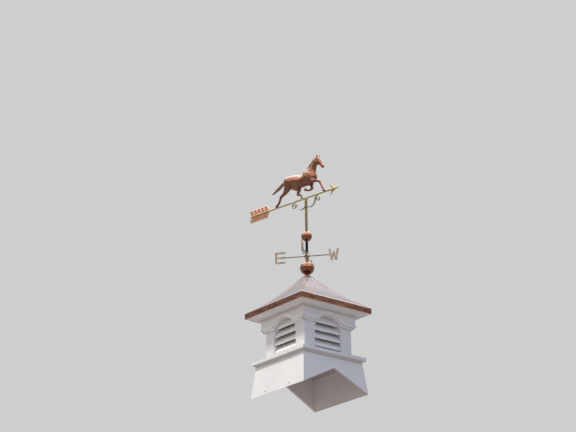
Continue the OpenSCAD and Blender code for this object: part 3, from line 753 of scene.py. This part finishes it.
def arrow_head():
    """A stamped head of two faceted halves, on a turned socket."""
    heap = Heap()
    outline = [(281, 9.5), (259, 22), (225, 47), (238, 21), (244.5, 6.6)]
    faces = [(0, 1, 5), (1, 2, 6, 5), (2, 4, 6), (6, 4, 7), (4, 8, 7), (4, 9, 8), (2, 3, 9, 4),
             (5, 6, 11, 10), (6, 7, 12, 11), (7, 8, 13, 12), (8, 9, 14, 13), (0, 5, 10, 15)]
    rim = 0.9
    for up in (-1, 1):
        for side in (-1, 1):
            # Four points of the middle ridge, the barb's ridge, the outline on the rim and at the seam, the tip
            verts = [(323.5, rim * side, 0), (283, 5.2 * side, 0), (263, 7.4 * side, 0),
                     (244.5, 7.6 * side, 0), (246, 5.4 * side, 25 * up)]
            verts += [(x, y, z * up) for y in (rim * side, 0) for x, z in outline]
            heap.add(verts + [(324, 0, 0)], faces, flip=up * side < 0)
    round_off(piece("arrow_head_halves", heap, "brass", "vane", ["arrow_head"], VANE, shade="flat"), 0.7)
    socket = Heap()
    socket.lathe([(6.6, 228), (8.0, 228), (9.0, 229), (9.4, 230.6), (9.0, 232.2), (8.0, 233), (8.0, 238),
                  (8.9, 239), (9.2, 240.4), (8.9, 241.8), (8.3, 242.6), (7.8, 250), (6.8, 262), (5.2, 276),
                  (2.6, 296)], ALONG, 40)
    piece("arrow_socket", socket, "feather_copper", "vane", place=VANE)


def arrow_feather():
    """Ten swept vanes that lap like shingles, each with a raised rib at its front edge, on a brass sleeve."""
    vanes, ribs, spine = Heap(), Heap(), Heap()
    count = 5
    length = 175
    pitch = length / count
    high = 50
    sweep = 20
    notch = 8
    root = 6.5
    across = 14
    levels = (0, 0.03, 0.15, 0.3, 0.5, 0.7, 0.86, 0.975, 1)
    bead = [(1.7, -1.5), (2.9, -0.6), (3.3, 0.4), (3.0, 1.6), (2.1, 2.6), (0.6, 3.1)]
    for k in (-1, 1):
        for i in range(count):
            front = (i + 1) * pitch
            for side in (-1, 1):
                verts = []
                for t in levels:
                    for u in range(across + 1):
                        f = 0.02 if u == 1 else 0.98 if u == across - 1 else u / across
                        lift = high - notch * (1 - f) ** 1.4 + 1.5 * math.sin(math.pi * f)
                        x = (i + f) * pitch - sweep * (0.8 + 0.2 * f) * t ** 1.15 + 1.5 * (1 - f)
                        y = 0.8 + 1.9 * f + 0.5 * abs(math.sin(math.pi * 4 * f)) * min(1, 6 * t)
                        y *= 0 < t < 1 and 0 < u < across
                        verts.append((x - TAIL, y * side, (root + (lift - root) * t) * k))
                vanes.add(verts, grid(len(levels) - 1, across), flip=k * side > 0)
                place = Matrix.Translation((front - TAIL - 1.2, 2.4 * side, k * 10.4))
                ribs.lathe(bead, place @ spin(-side * QUARTER, "X"), 20)
            line = smooth_path([(front - sweep * t ** 1.15 - TAIL, root + (high + 0.6 - root) * t)
                                for t in (0, 0.33, 0.66, 1)], 4)
            sizes = [2.6] + [2.3] * (len(line) - 2) + [1.035]
            rings = [[(x + dx, dy, z * k) for dx, dy in circle(size, 12, 1.5 * size)][::k]
                     for (x, z), size in zip(line, sizes)]
            ribs.loft(rings)
    piece("feather_vanes", vanes, "feather_copper", "vane", ["arrow_feather"], VANE)
    lip = [(6.55, 0), (8.2, 0), (9.0, 0.8), (9.3, 2.2), (9.0, 3.6), (8.1, 4.4), (7.9, 6)]
    tip = [(1.0, -4.3), (3.8, -3.8), (5.6, -2.6), (6.4, -1.2), (6.4, -0.2)]
    for profile in (lip + [(r, length - x) for r, x in lip[::-1]], tip):
        spine.lathe([(r, x - TAIL) for r, x in profile], ALONG, 40)
    piece("feather_sleeve", spine, "brass", "vane", place=VANE)
    piece("feather_ribs", ribs, "feather_copper", "vane", place=VANE, shade="soft")


def scrolls():
    """Strap scrolls that brace the arrow from a collar on the tube, each rolled up on a pin."""
    heap = Heap()
    strap = rounded_bar(12, 3.4, 1.3)
    level = -34.3
    trough_start = -133.9
    trough = [arc((42, level), 44, trough_start * (1 - i / 20)) for i in range(20)]
    curl = [arc((111, level), 25 * (1 - i / 76), 180 - 8.5 * i) for i in range(46)]
    path = trough + curl
    last = len(path) - 1
    sizes = [1 - 0.35 * max(0, i / last - 0.6) / 0.4 for i in range(last + 1)]
    pin = [(1, -7.2), (3.4, -7.2), (4.2, -6.4), (4.4, -5.2), (4.4, 5.2), (4.2, 6.4), (3.4, 7.2), (1, 7.2)]
    for k in (1, -1):
        swept(heap, [(x * k, z) for x, z in path], strap[::k], sizes)
        heap.lathe(pin, Matrix.Translation((path[-1][0] * k, 0, path[-1][1])) @ spin(QUARTER, "X"), 24)
    collar = trough[0][1]
    ring = [(9.4, -9), (12.4, -9), (13.3, -8.2), (13.5, -7), (13.3, -5.8), (12.4, -5), (12.2, -3.6)]
    ring += [(r, -z) for r, z in ring[::-1]]
    heap.lathe(ring, Matrix.Translation((0, 0, collar)), 48, closed=True)
    screw_head(heap, (0, -12, collar), (0, -1, 0), 3, 0.4)
    piece("scroll_straps", heap, "brass", "vane", ["scrolls"], VANE, look="mast_brass", shade="soft")


class Clay:
    """Soft forms pressed together in a field of distances, and the skin round them, in the vane's plane."""

    FAR_OFF = 60

    def __init__(self, low, high, cell):
        self.low = np.array(low, np.float32)
        self.cell = cell
        size = [math.ceil((b - a) / cell) + 1 for a, b in zip(low, high)]
        self.field = np.full(size, self.FAR_OFF, np.float32)
        self.scratch = self.field.copy()

    def window(self, low, high):
        """The slice of the field between two corners, and its points' coordinates."""
        slices = []
        axes = []
        for i, size in enumerate(self.field.shape):
            a = min(max(int((low[i] - self.low[i]) / self.cell), 0), size - 1)
            b = min(max(int((high[i] - self.low[i]) / self.cell) + 2, a + 1), size)
            slices.append(slice(a, b))
            axes.append(self.low[i] + self.cell * np.arange(a, b, dtype=np.float32))
        return tuple(slices), np.ix_(*axes)

    def limb(self, rings, blend, steps=4, ends=()):
        """Adds a limb through rings of (along, height, aside, radius in the plane, radius across it), cut off
        by planes given as (point, outward normal), and blended into what is there."""
        rings = smooth_path(rings, steps)
        reach = blend + 4 * self.cell
        lows = []
        highs = []
        for a, b in zip(rings, rings[1:]):
            start = np.array((a[0], a[2], a[1]), np.float32)
            step = np.array((b[0], b[2], b[1]), np.float32) - start
            length = max(float(step @ step), 1e-6)
            wide = max(a[3], b[3]) + reach
            deep = max(a[4], b[4]) + reach
            lows.append(np.minimum(start, start + step) - (wide, deep, wide))
            highs.append(np.maximum(start, start + step) + (wide, deep, wide))
            where, axes = self.window(lows[-1], highs[-1])
            x, y, z = (axis - at for axis, at in zip(axes, start))
            t = np.clip((x * step[0] + y * step[1] + z * step[2]) / length, 0, 1)
            plane = (x - t * step[0]) ** 2 + (z - t * step[2]) ** 2
            across = (y - t * step[1]) ** 2
            wide_2 = (max(a[3], 0.3) + t * (b[3] - a[3])) ** 2
            deep_2 = (max(a[4], 0.3) + t * (b[4] - a[4])) ** 2
            near = np.sqrt(plane / wide_2 + across / deep_2)
            slope = np.sqrt(plane / wide_2 ** 2 + across / deep_2 ** 2) + 1e-6
            np.minimum(self.scratch[where], near * (near - 1) / slope, out=self.scratch[where])
        self.press(np.min(lows, 0), np.max(highs, 0), blend, ends)

    def press(self, low, high, blend, ends):
        """Blends the scratch form into the field and clears it."""
        where, (x, _, z) = self.window(low, high)
        form = self.scratch[where].copy()
        self.scratch[where] = self.FAR_OFF
        for point, normal in ends:
            form = self.cut_off(form, x, z, point, normal)
        old = self.field[where]
        overlap = np.maximum(blend - np.abs(old - form), 0) / blend
        self.field[where] = np.minimum(old, form) - overlap * overlap * blend / 4

    def cut_off(self, form, x, z, point, normal):
        """Cuts a form off beyond a plane, with a small radius at its edge."""
        plane = ((x - point[0]) * normal[0] + (z - point[1]) * normal[1]) / math.hypot(*normal)
        radius = 1.5 * self.cell
        overlap = np.maximum(radius - np.abs(form - plane), 0) / radius
        return np.maximum(form, plane) + overlap * overlap * radius / 4

    def cut(self, point, normal):
        """Cuts everything off beyond a plane."""
        _, (x, _, z) = self.window(self.low, self.low + self.cell * np.array(self.field.shape))
        self.field = self.cut_off(self.field, x, z, point, normal)

    def skin(self):
        """Points and four-sided faces round the forms."""
        field = self.field
        inside = field < 0
        cells = tuple(n - 1 for n in field.shape)
        total = np.zeros(cells + (3,), np.float32)
        count = np.zeros(cells, np.float32)
        faces = []
        for axis in range(3):
            u, v = [i for i in range(3) if i != axis]
            first = tuple(slice(0, -1) if i == axis else slice(None) for i in range(3))
            second = tuple(slice(1, None) if i == axis else slice(None) for i in range(3))
            at = np.argwhere(inside[first] != inside[second])
            a = field[first][tuple(at.T)]
            b = field[second][tuple(at.T)]
            points = at.astype(np.float32)
            points[:, axis] += a / (a - b)
            inner = (at[:, u] > 0) & (at[:, v] > 0) & (at[:, u] < cells[u]) & (at[:, v] < cells[v])
            at, points, a = at[inner], points[inner], a[inner]
            corners = []
            for du, dv in ((0, 0), (-1, 0), (-1, -1), (0, -1)):
                cell = at.copy()
                cell[:, u] += du
                cell[:, v] += dv
                np.add.at(total, tuple(cell.T), points)
                np.add.at(count, tuple(cell.T), 1)
                corners.append(np.ravel_multi_index(tuple(cell.T), cells))
            quads = np.stack(corners, 1)
            outward = (a < 0) if axis != 1 else (a >= 0)
            quads[~outward] = quads[~outward][:, ::-1]
            faces.append(quads)
        used, faces = np.unique(np.concatenate(faces), return_inverse=True)
        where = np.unravel_index(used, cells)
        verts = total[where] / count[where][:, None] * self.cell + self.low
        return verts.astype(np.float64), faces.reshape(-1, 4)


def neighbour_mean(verts, faces):
    total = np.zeros_like(verts)
    count = np.zeros(len(verts))
    for i in range(4):
        for j in (1, 3):
            np.add.at(total, faces[:, i], verts[faces[:, (i + j) % 4]])
            np.add.at(count, faces[:, i], 1)
    return total / count[:, None]


def relaxed(verts, faces, rounds):
    """Smooths a skin without shrinking it."""
    for _ in range(rounds):
        for share in (0.55, -0.57):
            verts = verts + share * (neighbour_mean(verts, faces) - verts)
    return verts


def outward_normals(verts, faces):
    corners = verts[faces]
    face_normals = np.cross(corners[:, 2] - corners[:, 0], corners[:, 3] - corners[:, 1])
    normals = np.zeros_like(verts)
    for i in range(4):
        np.add.at(normals, faces[:, i], face_normals)
    return normals / (np.linalg.norm(normals, axis=1)[:, None] + 1e-12)


def stroke_lift(verts, normals, side, width, height, points):
    """How far one stroke lifts each point of a skin."""
    path = np.array(smooth_path(points, 6))
    reach = 2.4 * width
    spots = verts[:, (0, 2)]
    close = ((spots > path.min(0) - reach) & (spots < path.max(0) + reach)).all(1)
    if side:
        close &= normals[:, 1] * side > 0.05
    spots = spots[close]
    best = np.full(len(spots), 1e9)
    along = np.zeros(len(spots))
    last = len(path) - 1
    for i in range(last):
        step = path[i + 1] - path[i]
        t = np.clip(((spots - path[i]) @ step) / max(step @ step, 1e-9), 0, 1)
        gap = np.hypot(*(spots - path[i] - t[:, None] * step).T)
        nearer = gap < best
        best[nearer] = gap[nearer]
        along[nearer] = (i + t[nearer]) / last
    fade = np.clip(5 * np.minimum(along, 1 - along) + 0.12, 0, 1)
    facing = np.clip(1.5 * np.abs(normals[close, 1]) - 0.1, 0, 1)
    lift = np.zeros(len(verts))
    lift[close] = height * np.exp(-(best / width) ** 2) * fade * facing
    return lift


def relief(verts, faces, strokes):
    """Raises or sinks a skin along strokes of (width, height, points) drawn on its near side (-1), its far
    side (1) or both (0), and raises the seam between its two halves."""
    normals = outward_normals(verts, faces)
    seam = np.exp(-(verts[:, 1] / 1.4) ** 2) * np.clip(1.4 - 2 * np.abs(normals[:, 1]), 0, 1)
    move = 0.7 * seam
    for side, rows in strokes.items():
        for row in rows:
            move += stroke_lift(verts, normals, side, *row)
    return verts + normals * move[:, None]


def sculpted(name, clay, rounds, strokes=None, look=None):
    """A piece on the vane from a clay form."""
    verts, faces = clay.skin()
    verts = relaxed(verts, faces, rounds)
    if strokes:
        verts = relief(verts, faces, strokes)
    heap = Heap()
    heap.add(verts.tolist(), faces.tolist())
    piece(name, heap, "horse_copper", "vane", ["horse"], VANE, look)


BODY_CELL, HAIR_CELL = ((1.7, 1.35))
SOLE_Z = 5.2


def hoof(clay, top, toe, width):
    """A hoof from its coronet to its flat sole, each given as (along, height, aside)."""
    length = math.hypot(toe[0] - top[0], toe[1] - top[1])
    ux, uz = (toe[0] - top[0]) / length, (toe[1] - top[1]) / length
    rows = ((top, 0, 0.72, 0.68), (top, 1.5, 0.86, 0.8), (toe, 0, 1.06, 0.98), (toe, width, 1.2, 1.06))
    rings = [(at[0] + ux * on, at[1] + uz * on, at[2], width * plane, width * across)
             for at, on, plane, across in rows]
    clay.limb(rings, 1.2, 1, [(toe, (ux, uz)), (top, (-ux, -uz))])


def horse_body():
    clay = Clay((-300, -48, 0), (196, 48, 312), BODY_CELL)
    # Trunk, neck and head
    clay.limb([
        (-188, 168, 0, 8, 8), (-184, 168, 0, 22, 19), (-174, 166, 0, 34, 28), (-155, 163, 0, 44, 35),
        (-128, 159, 0, 49, 38), (-98, 153, 0, 51, 38), (-68, 146, 0, 48, 38), (-36, 139, 0, 44, 38),
        (-8, 143, 0, 48, 38), (18, 150, 0, 50, 37), (42, 150, 0, 46, 35), (64, 146, 0, 35, 30),
        (79, 143, 0, 23, 22), (86, 142, 0, 9, 11)], 6, 3)
    clay.limb([
        (34, 148, 0, 54, 33), (52, 181, 0, 42, 27), (68, 210, 0, 32, 21), (84, 236, 0, 26, 17.5),
        (100, 259, 0, 23, 15.5), (112, 273, 0, 17, 14), (119, 281, 0, 9, 9)], 16)
    clay.limb([
        (109, 281, 0, 9, 10), (115, 272, 0, 17, 14), (125, 256, 0, 19.5, 15.5), (136, 240, 0, 17, 13),
        (147, 225, 0, 13.2, 10.5), (156, 212, 0, 11.6, 9.8), (162.5, 202.5, 0, 11.6, 10.4),
        (167, 196, 0, 8.6, 8.6)], 7)
    for y in (-1, 1):
        # Cheek, ear and nostril
        clay.limb([(108, 250, 9.5 * y, 14, 6), (114, 245, 10 * y, 15, 6)], 6, 1)
        clay.limb([
            (113, 275, 7.5 * y, 6, 5), (118, 284, 9.5 * y, 6.4, 4), (122.5, 294, 11 * y, 4.6, 2.8),
            (126.5, 304, 12 * y, 1.4, 1.2)], 3)
        clay.limb([(162, 200.5, 6.5 * y, 6, 4.5), (168, 200, 5.5 * y, 4.5, 4)], 3, 1)
        # Haunch, shoulder and breast
        clay.limb([
            (-160, 176, 15 * y, 26, 20), (-146, 158, 20 * y, 34, 20), (-132, 140, 20 * y, 28, 18)], 16, 2)
        clay.limb([(18, 186, 13 * y, 20, 18), (34, 160, 20 * y, 25, 19), (52, 138, 19 * y, 24, 18)], 14, 2)
        clay.limb([(58, 152, 12 * y, 22, 18), (70, 132, 13 * y, 19, 16)], 12, 1)
    # Near foreleg, stretched forwards
    clay.limb([
        (30, 132, -17, 28, 17), (52, 118, -20, 24, 15), (72, 110, -20, 18, 13), (90, 104.5, -18, 13.5, 11),
        (108, 100, -17, 10.6, 10), (124, 95, -15, 9.4, 9.4), (136, 90, -14, 10, 10),
        (143, 84, -13.5, 10.5, 10.4), (148, 74, -12.5, 8.2, 8.4), (153, 62, -11, 7, 7.4),
        (158, 50, -10, 6.6, 7), (162.5, 38, -8.5, 6.8, 7.2), (166, 29, -7, 8.4, 8.2), (169, 21, -6, 7, 7.4),
        (171.5, 15, -5.2, 7.6, 7.8)], 8)
    hoof(clay, (171, 18, -5.4), (179, SOLE_Z - 3, -4), 11.2)
    # Far foreleg, folded under
    clay.limb([
        (28, 128, 17, 26, 16), (36, 108, 19, 19.5, 13.5), (41, 91, 18, 13.2, 11), (44, 78, 17.5, 10.6, 10),
        (45, 70, 17, 10.4, 10.2), (38, 63.5, 17, 8.6, 8.6), (27, 61, 17, 7, 7.4), (15, 61, 16.5, 6.6, 7),
        (4, 64, 16, 8, 8), (-3, 67, 16, 7, 7.2), (-8, 70, 16, 7.4, 7.6)], 8)
    hoof(clay, (-5, 68.5, 16), (-21, 78, 16), 10.6)
    # Near hind leg, thrust back
    clay.limb([
        (-136, 152, -16, 40, 19), (-152, 130, -18, 36, 18), (-164, 110, -19, 28, 16),
        (-176, 94, -18.5, 20, 14), (-190, 83, -18, 14.5, 12), (-205, 75.5, -17, 11.6, 10.4),
        (-218, 70, -16, 11.4, 10), (-227, 63, -15, 10.4, 9.6), (-233, 53, -13.5, 8.6, 8.6),
        (-240, 42, -11.5, 7.8, 8), (-248, 32, -9.5, 8, 8), (-256, 24.5, -8, 9, 8.6),
        (-265, 18.5, -6.4, 7.6, 7.8), (-272, 15, -5.4, 7.8, 8)], 8)
    hoof(clay, (-269, 17, -5.6), (-287, SOLE_Z, -3.5), 11)
    # Far hind leg, drawn forwards
    clay.limb([
        (-124, 144, 15, 38, 19), (-101, 122, 18, 30, 17), (-84, 104, 18.5, 21, 14), (-80, 90, 18, 15, 12.4),
        (-84, 76, 17.4, 12, 10.6), (-90, 64, 16.6, 10.8, 10), (-90, 56, 16, 9.6, 9.4), (-80, 52, 15, 7.8, 8),
        (-68, 47.5, 13.4, 7.2, 7.6), (-58, 41, 11.5, 7.6, 7.8), (-52, 34, 9.8, 8.6, 8.4),
        (-48, 26, 8, 7.2, 7.6), (-44.5, 19, 6.6, 7.6, 7.8)], 8)
    hoof(clay, (-46, 22, 7), (-37, SOLE_Z - 2, 3.6), 11)
    clay.cut((0, SOLE_Z), (0, -1))
    both = [
        # Head: jaw, cheek, eye, nostril, mouth and the bone under the eye
        (2.4, -1.3, [(121, 260), (124.5, 249), (122, 237), (113, 229)]),
        (6, 1.2, [(108, 252), (114, 242)]),
        (1.5, -1.7, [(124.5, 263), (127.5, 267), (132, 266), (135, 261)]),
        (1.5, -1.4, [(124.5, 263), (128, 259), (132, 258.5), (135, 261)]),
        (2.1, 2.2, [(128.6, 263), (131.6, 262)]),
        (1.3, 1.0, [(123, 266), (127, 270.5), (132, 270)]),
        (2.2, 1.2, [(131, 251), (141, 238), (151, 225)]),
        (2.6, -1.0, [(128, 246), (138, 232), (148, 219)]),
        (1.5, -2.2, [(164, 206.5), (166.5, 202.5)]),
        (1.4, 1.0, [(161, 206), (164, 209.5), (168, 206)]),
        (1.2, -1.6, [(172, 195), (166, 194), (160, 197), (156, 202)]),
        # Throat, neck and shoulder
        (3.6, -1.2, [(118, 234), (108, 236), (101, 246)]),
        (5.5, -1.2, [(104, 232), (94, 208), (82, 184), (70, 166)]),
        (6, 1.3, [(98, 248), (80, 226), (60, 204), (42, 184)]),
        (6, -1.5, [(72, 182), (56, 184), (36, 192), (20, 198)]),
        (5.5, -1.8, [(14, 190), (8, 170), (8, 148), (16, 128), (26, 116)]),
        (5.5, -1.4, [(24, 180), (40, 160), (58, 142), (64, 132)]),
        (5, 1.5, [(32, 178), (50, 158), (64, 146)]),
        (4.5, -1.3, [(84, 158), (74, 146), (66, 132), (62, 122)]),
        # Elbow, ribs, flank and belly
        (3.2, -1.8, [(10, 112), (22, 106), (36, 100)]),
        (3.0, -0.8, [(-8, 172), (-14, 146), (-10, 118)]),
        (3.0, -0.8, [(-24, 168), (-31, 142), (-27, 114)]),
        (3.0, -0.8, [(-41, 166), (-49, 142), (-45, 114)]),
        (3.0, -0.7, [(-58, 168), (-66, 146), (-62, 118)]),
        (6.5, -1.9, [(-86, 178), (-96, 154), (-94, 130), (-84, 112)]),
        (5, 1.4, [(-102, 172), (-112, 148), (-108, 124)]),
        (3.2, -1.5, [(-128, 192), (-128, 168), (-138, 144), (-152, 128)]),
        (3.2, -1.6, [(-176, 186), (-170, 160), (-172, 134), (-178, 112)]),
        (3.4, -1.3, [(-150, 116), (-136, 108), (-118, 104)]),
    ]
    near = [
        # Forearm, knee, tendons, gaskin and hock
        (2.4, -1.3, [(64, 106), (86, 100), (108, 97), (128, 92)]),
        (1.5, -1.0, [(135, 96), (139, 88), (136, 82)]),
        (1.5, -1.0, [(149, 86), (145, 79), (150, 74)]),
        (1.4, -1.1, [(147, 70), (152, 56), (158, 42)]),
        (2.4, -1.4, [(-168, 96), (-186, 82), (-204, 76)]),
        (2.0, 1.1, [(-214, 74), (-224, 68)]),
        (1.4, -1.1, [(-229, 60), (-237, 48), (-245, 37)]),
    ]
    far = [
        (2.2, -1.2, [(40, 100), (44, 84), (46, 74)]),
        (1.4, -1.1, [(38, 60), (24, 58), (10, 60)]),
        (2.2, -1.2, [(-84, 96), (-86, 80), (-90, 68)]),
        (1.4, -1.1, [(-86, 51), (-74, 47), (-62, 41)]),
    ]
    sculpted("horse_body", clay, 2, {0: both, -1: near, 1: far})


def horse_mane():
    """Locks that stream back along the crest and lift off it at their tips, others that lie on the neck's
    sides, and a forelock."""
    clay = Clay((-44, -34, 156), (156, 34, 312), HAIR_CELL)
    crest = smooth_path([(-14, 186), (2, 197), (18, 212), (34, 229), (50, 246), (66, 261), (82, 274),
                         (98, 284), (112, 291)], 6)
    steps = [math.hypot(b[0] - a[0], b[1] - a[1]) for a, b in zip(crest, crest[1:])]

    def on_crest(far, off):
        """The point this far along the crest from the withers, and this far off it."""
        i = 0
        while i < len(steps) - 1 and far > steps[i]:
            far -= steps[i]
            i += 1
        (ax, az), (bx, bz) = crest[i], crest[i + 1]
        ux, uz = (bx - ax) / steps[i], (bz - az) / steps[i]
        return ax + ux * far - uz * off, az + uz * far + ux * off

    def lock(*points):
        clay.limb([(*on_crest(far, off), *rest) for far, off, *rest in points], 0.9)

    count = 12
    for i in range(count):
        t = i / (count - 1)
        far = 32 + (sum(steps) - 34) * t
        sway = 1.6 * math.sin(2.3 * i)
        for side in (-1, 1):
            wide = side * (1 + 0.3 * (1 - t))
            drop = 2.5 * math.sin(1.7 * i + side)
            for part in (-1, 1):
                back = 3 * part
                lock((far + 4 + back, -1, 4.6 * side, 2.8, 2.8), (far - 3 + back, -5, 8.8 * wide, 3.3, 2.9),
                     (far - 10 + back, -11 + 0.5 * drop, 12.8 * wide, 3.1, 2.7),
                     (far - 17 + back * 0.7, -17 + drop, 15.5 * wide, 2.5, 2.2),
                     (far - 24, -22 + drop + part, 16.8 * wide, 1.1, 1.1))
            lift = sway + 1.2 * side
            lock((far + 6, -3, 3.0 * side, 3.6, 2.8), (far - 1, 2.2, 3.8 * side, 4.2, 3.2),
                 (far - 8, 4.4 + 0.4 * lift, 4 * side, 3.8, 2.8),
                 (far - 15, 6.8 + lift, 3.4 * side, 2.6, 2.1),
                 (far - 21 - side, 9.6 + lift, 2.4 * side, 1.1, 1.1))
    for y in (-4, 0, 4):
        clay.limb([
            (110, 287, y, 4, 3), (120, 285, y * 1.2, 4.4, 3), (129, 276, y * 1.3, 3.4, 2.4),
            (134.5, 266, y * 1.1, 0.9, 0.8)], 1.4)
    sculpted("horse_mane", clay, 1, look="horse_hair")


def horse_tail():
    """A tail of long strands, thin at the dock and full in its middle."""
    clay = Clay((-340, -26, 92), (-160, 26, 208), HAIR_CELL)
    spine = smooth_path([(-168, 190), (-186, 187.5), (-203, 180), (-219, 169.5), (-237, 158), (-258, 147),
                         (-281, 136.5), (-302, 126.5), (-318, 119.5), (-331, 116)], 3)
    spread = smooth_path([(6.5, 6), (7, 6.5), (8.5, 7.5), (11.5, 9), (13, 10), (13, 9.5), (11.5, 8), (9, 6),
                          (6, 4), (3, 2.5)], 3)
    strands = 10
    last = len(spine) - 1
    core = [(*at, 0, max(plane * 0.6, 2), max(across * 0.6, 2)) for at, (plane, across) in zip(spine, spread)]
    clay.limb(core[:-3:2], 1, 2)
    for k in range(strands):
        turn = 2 * math.pi * k / strands
        length = round(last * (0.78 + 0.22 * ((k * 4) % strands) / (strands - 1)))
        rings = []
        for i in range(length + 1):
            x, z = spine[i]
            nx, nz = spine[min(i + 1, last)]
            px, pz = spine[max(i - 1, 0)]
            size = math.hypot(nx - px, nz - pz)
            plane, across = spread[i]
            phase = turn + 0.75 * math.sin(0.23 * i + 0.7 * k)
            off = plane * 0.72 * math.cos(phase) + 1.2 * math.sin(0.35 * i + k) * min(1, i / 10)
            thin = 1 - max(0, i / length - 0.5) / 0.5
            aside = across * 0.72 * math.sin(phase)
            rings.append((x - (nz - pz) / size * off, z + (nx - px) / size * off, aside,
                          plane * 0.24 * thin + 1.2, across * 0.26 * thin + 1.2))
        clay.limb(rings[::2] + [rings[-1]], 0.9, 2)
    sculpted("horse_tail", clay, 1, look="horse_hair")


def build():
    dress_frame()
    for k in range(4):
        roof_sheet(k)
    fasteners()
    spun_ball("lower_ball_shell", "lower_ball")
    spun_ball("upper_ball_shell", "upper_ball")
    trims()
    peak_cap()
    compass()
    arrow_head()
    arrow_feather()
    scrolls()
    horse_body()
    horse_mane()
    horse_tail()


# Stage and light

BACKDROP = (0.62, 0.62, 0.62)
FLOOR_COLOUR = (0.52, 0.52, 0.52)
FLOOR_GLOW = (0.38, 0.32, 0.30)
FLOOR_HALF = 30
SKY_SIDE = (0.43, 0.51, 0.67)
SKY_FRONT = (0.74, 0.725, 0.71)
FRONT_LIGHT = (-0.42, -0.87, 0.25)
SUN_FROM = (-0.26, -0.40, 0.88)
SUN_COLOUR = (1, 0.955, 0.90)
SUN_STRENGTH = 2.85
SUN_ANGLE = math.radians(7)
OVERHEAD = 2.1
OVERHEAD_R = 5.4
OVERHEAD_AT = (1.07, -0.90, 4.6)


def seen_directly(t):
    """A socket that is 1 for camera, glossy and transmission rays, and 0 for bounced light."""
    ray = t.add("LightPath").outputs
    seen = t.math("MAXIMUM", ray["Is Camera Ray"], ray["Is Glossy Ray"])
    return t.math("MAXIMUM", seen, ray["Is Transmission Ray"])


def shaders_mixed(t, factor, first, second):
    return t.add("MixShader", {0: factor, 1: first.outputs[0], 2: second.outputs[0]})


def stage():
    """A pale floor under the cupola, which the low camera looks up through, and which glows from below."""
    mesh = bpy.data.meshes.new("floor")
    corners = ((-1, -1), (1, -1), (1, 1), (-1, 1))
    mesh.from_pydata([(x * FLOOR_HALF, y * FLOOR_HALF, 0) for x, y in corners], [], [(0, 1, 2, 3)])
    floor = linked("floor", mesh)
    material = bpy.data.materials.new("floor")
    material.use_nodes = True
    t = Nodes(material.node_tree)
    t.tree.nodes.remove(t.tree.nodes["Principled BSDF"])
    pale = t.add("BsdfDiffuse", {"Color": FLOOR_COLOUR})
    glow = t.add("Emission", {"Color": FLOOR_GLOW})
    top = shaders_mixed(t, seen_directly(t), glow, pale)
    below = t.add("NewGeometry").outputs["Backfacing"]
    whole = shaders_mixed(t, below, top, t.add("BsdfTransparent"))
    t.put(t.tree.nodes["Material Output"].inputs[0], whole.outputs[0])
    mesh.materials.append(material)


def sky_fill(t):
    """The colour that the world lights with: cool from the side and above, warmer from the front."""
    towards = t.vector("DOT_PRODUCT", t.add("TexCoord").outputs["Generated"], FRONT_LIGHT, "Value")
    blend = t.add("MapRange", {"Value": towards, "From Min": -0.1, "From Max": 0.95},
                  interpolation_type="SMOOTHSTEP")
    return t.mix(blend.outputs["Result"], SKY_SIDE, SKY_FRONT)


def lights():
    world = bpy.data.worlds.new("world")
    scene.world = world
    world.use_nodes = True
    t = Nodes(world.node_tree)
    backdrop = t.tree.nodes["Background"]
    t.put(backdrop.inputs["Color"], BACKDROP)
    whole = shaders_mixed(t, seen_directly(t), t.add("Background", {"Color": sky_fill(t)}), backdrop)
    t.put(t.tree.nodes["World Output"].inputs[0], whole.outputs[0])

    sun = bpy.data.lights.new("sun", "SUN")
    sun.energy = SUN_STRENGTH
    sun.angle = SUN_ANGLE
    sun.color = SUN_COLOUR
    key = linked("sun", sun)
    key.rotation_euler = Vector(SUN_FROM).to_track_quat("Z", "Y").to_euler()
    key.visible_glossy = False

    panel = bpy.data.lights.new("overhead", "AREA")
    panel.shape = "DISK"
    panel.size = 2 * OVERHEAD_R
    panel.energy = OVERHEAD * math.pi * math.pi * OVERHEAD_R ** 2
    overhead = linked("overhead", panel)
    overhead.location = OVERHEAD_AT
    overhead.visible_diffuse = False
    overhead.visible_camera = False


add_camera()
build()
stage()
lights()
scene.view_settings.view_transform = "Standard"
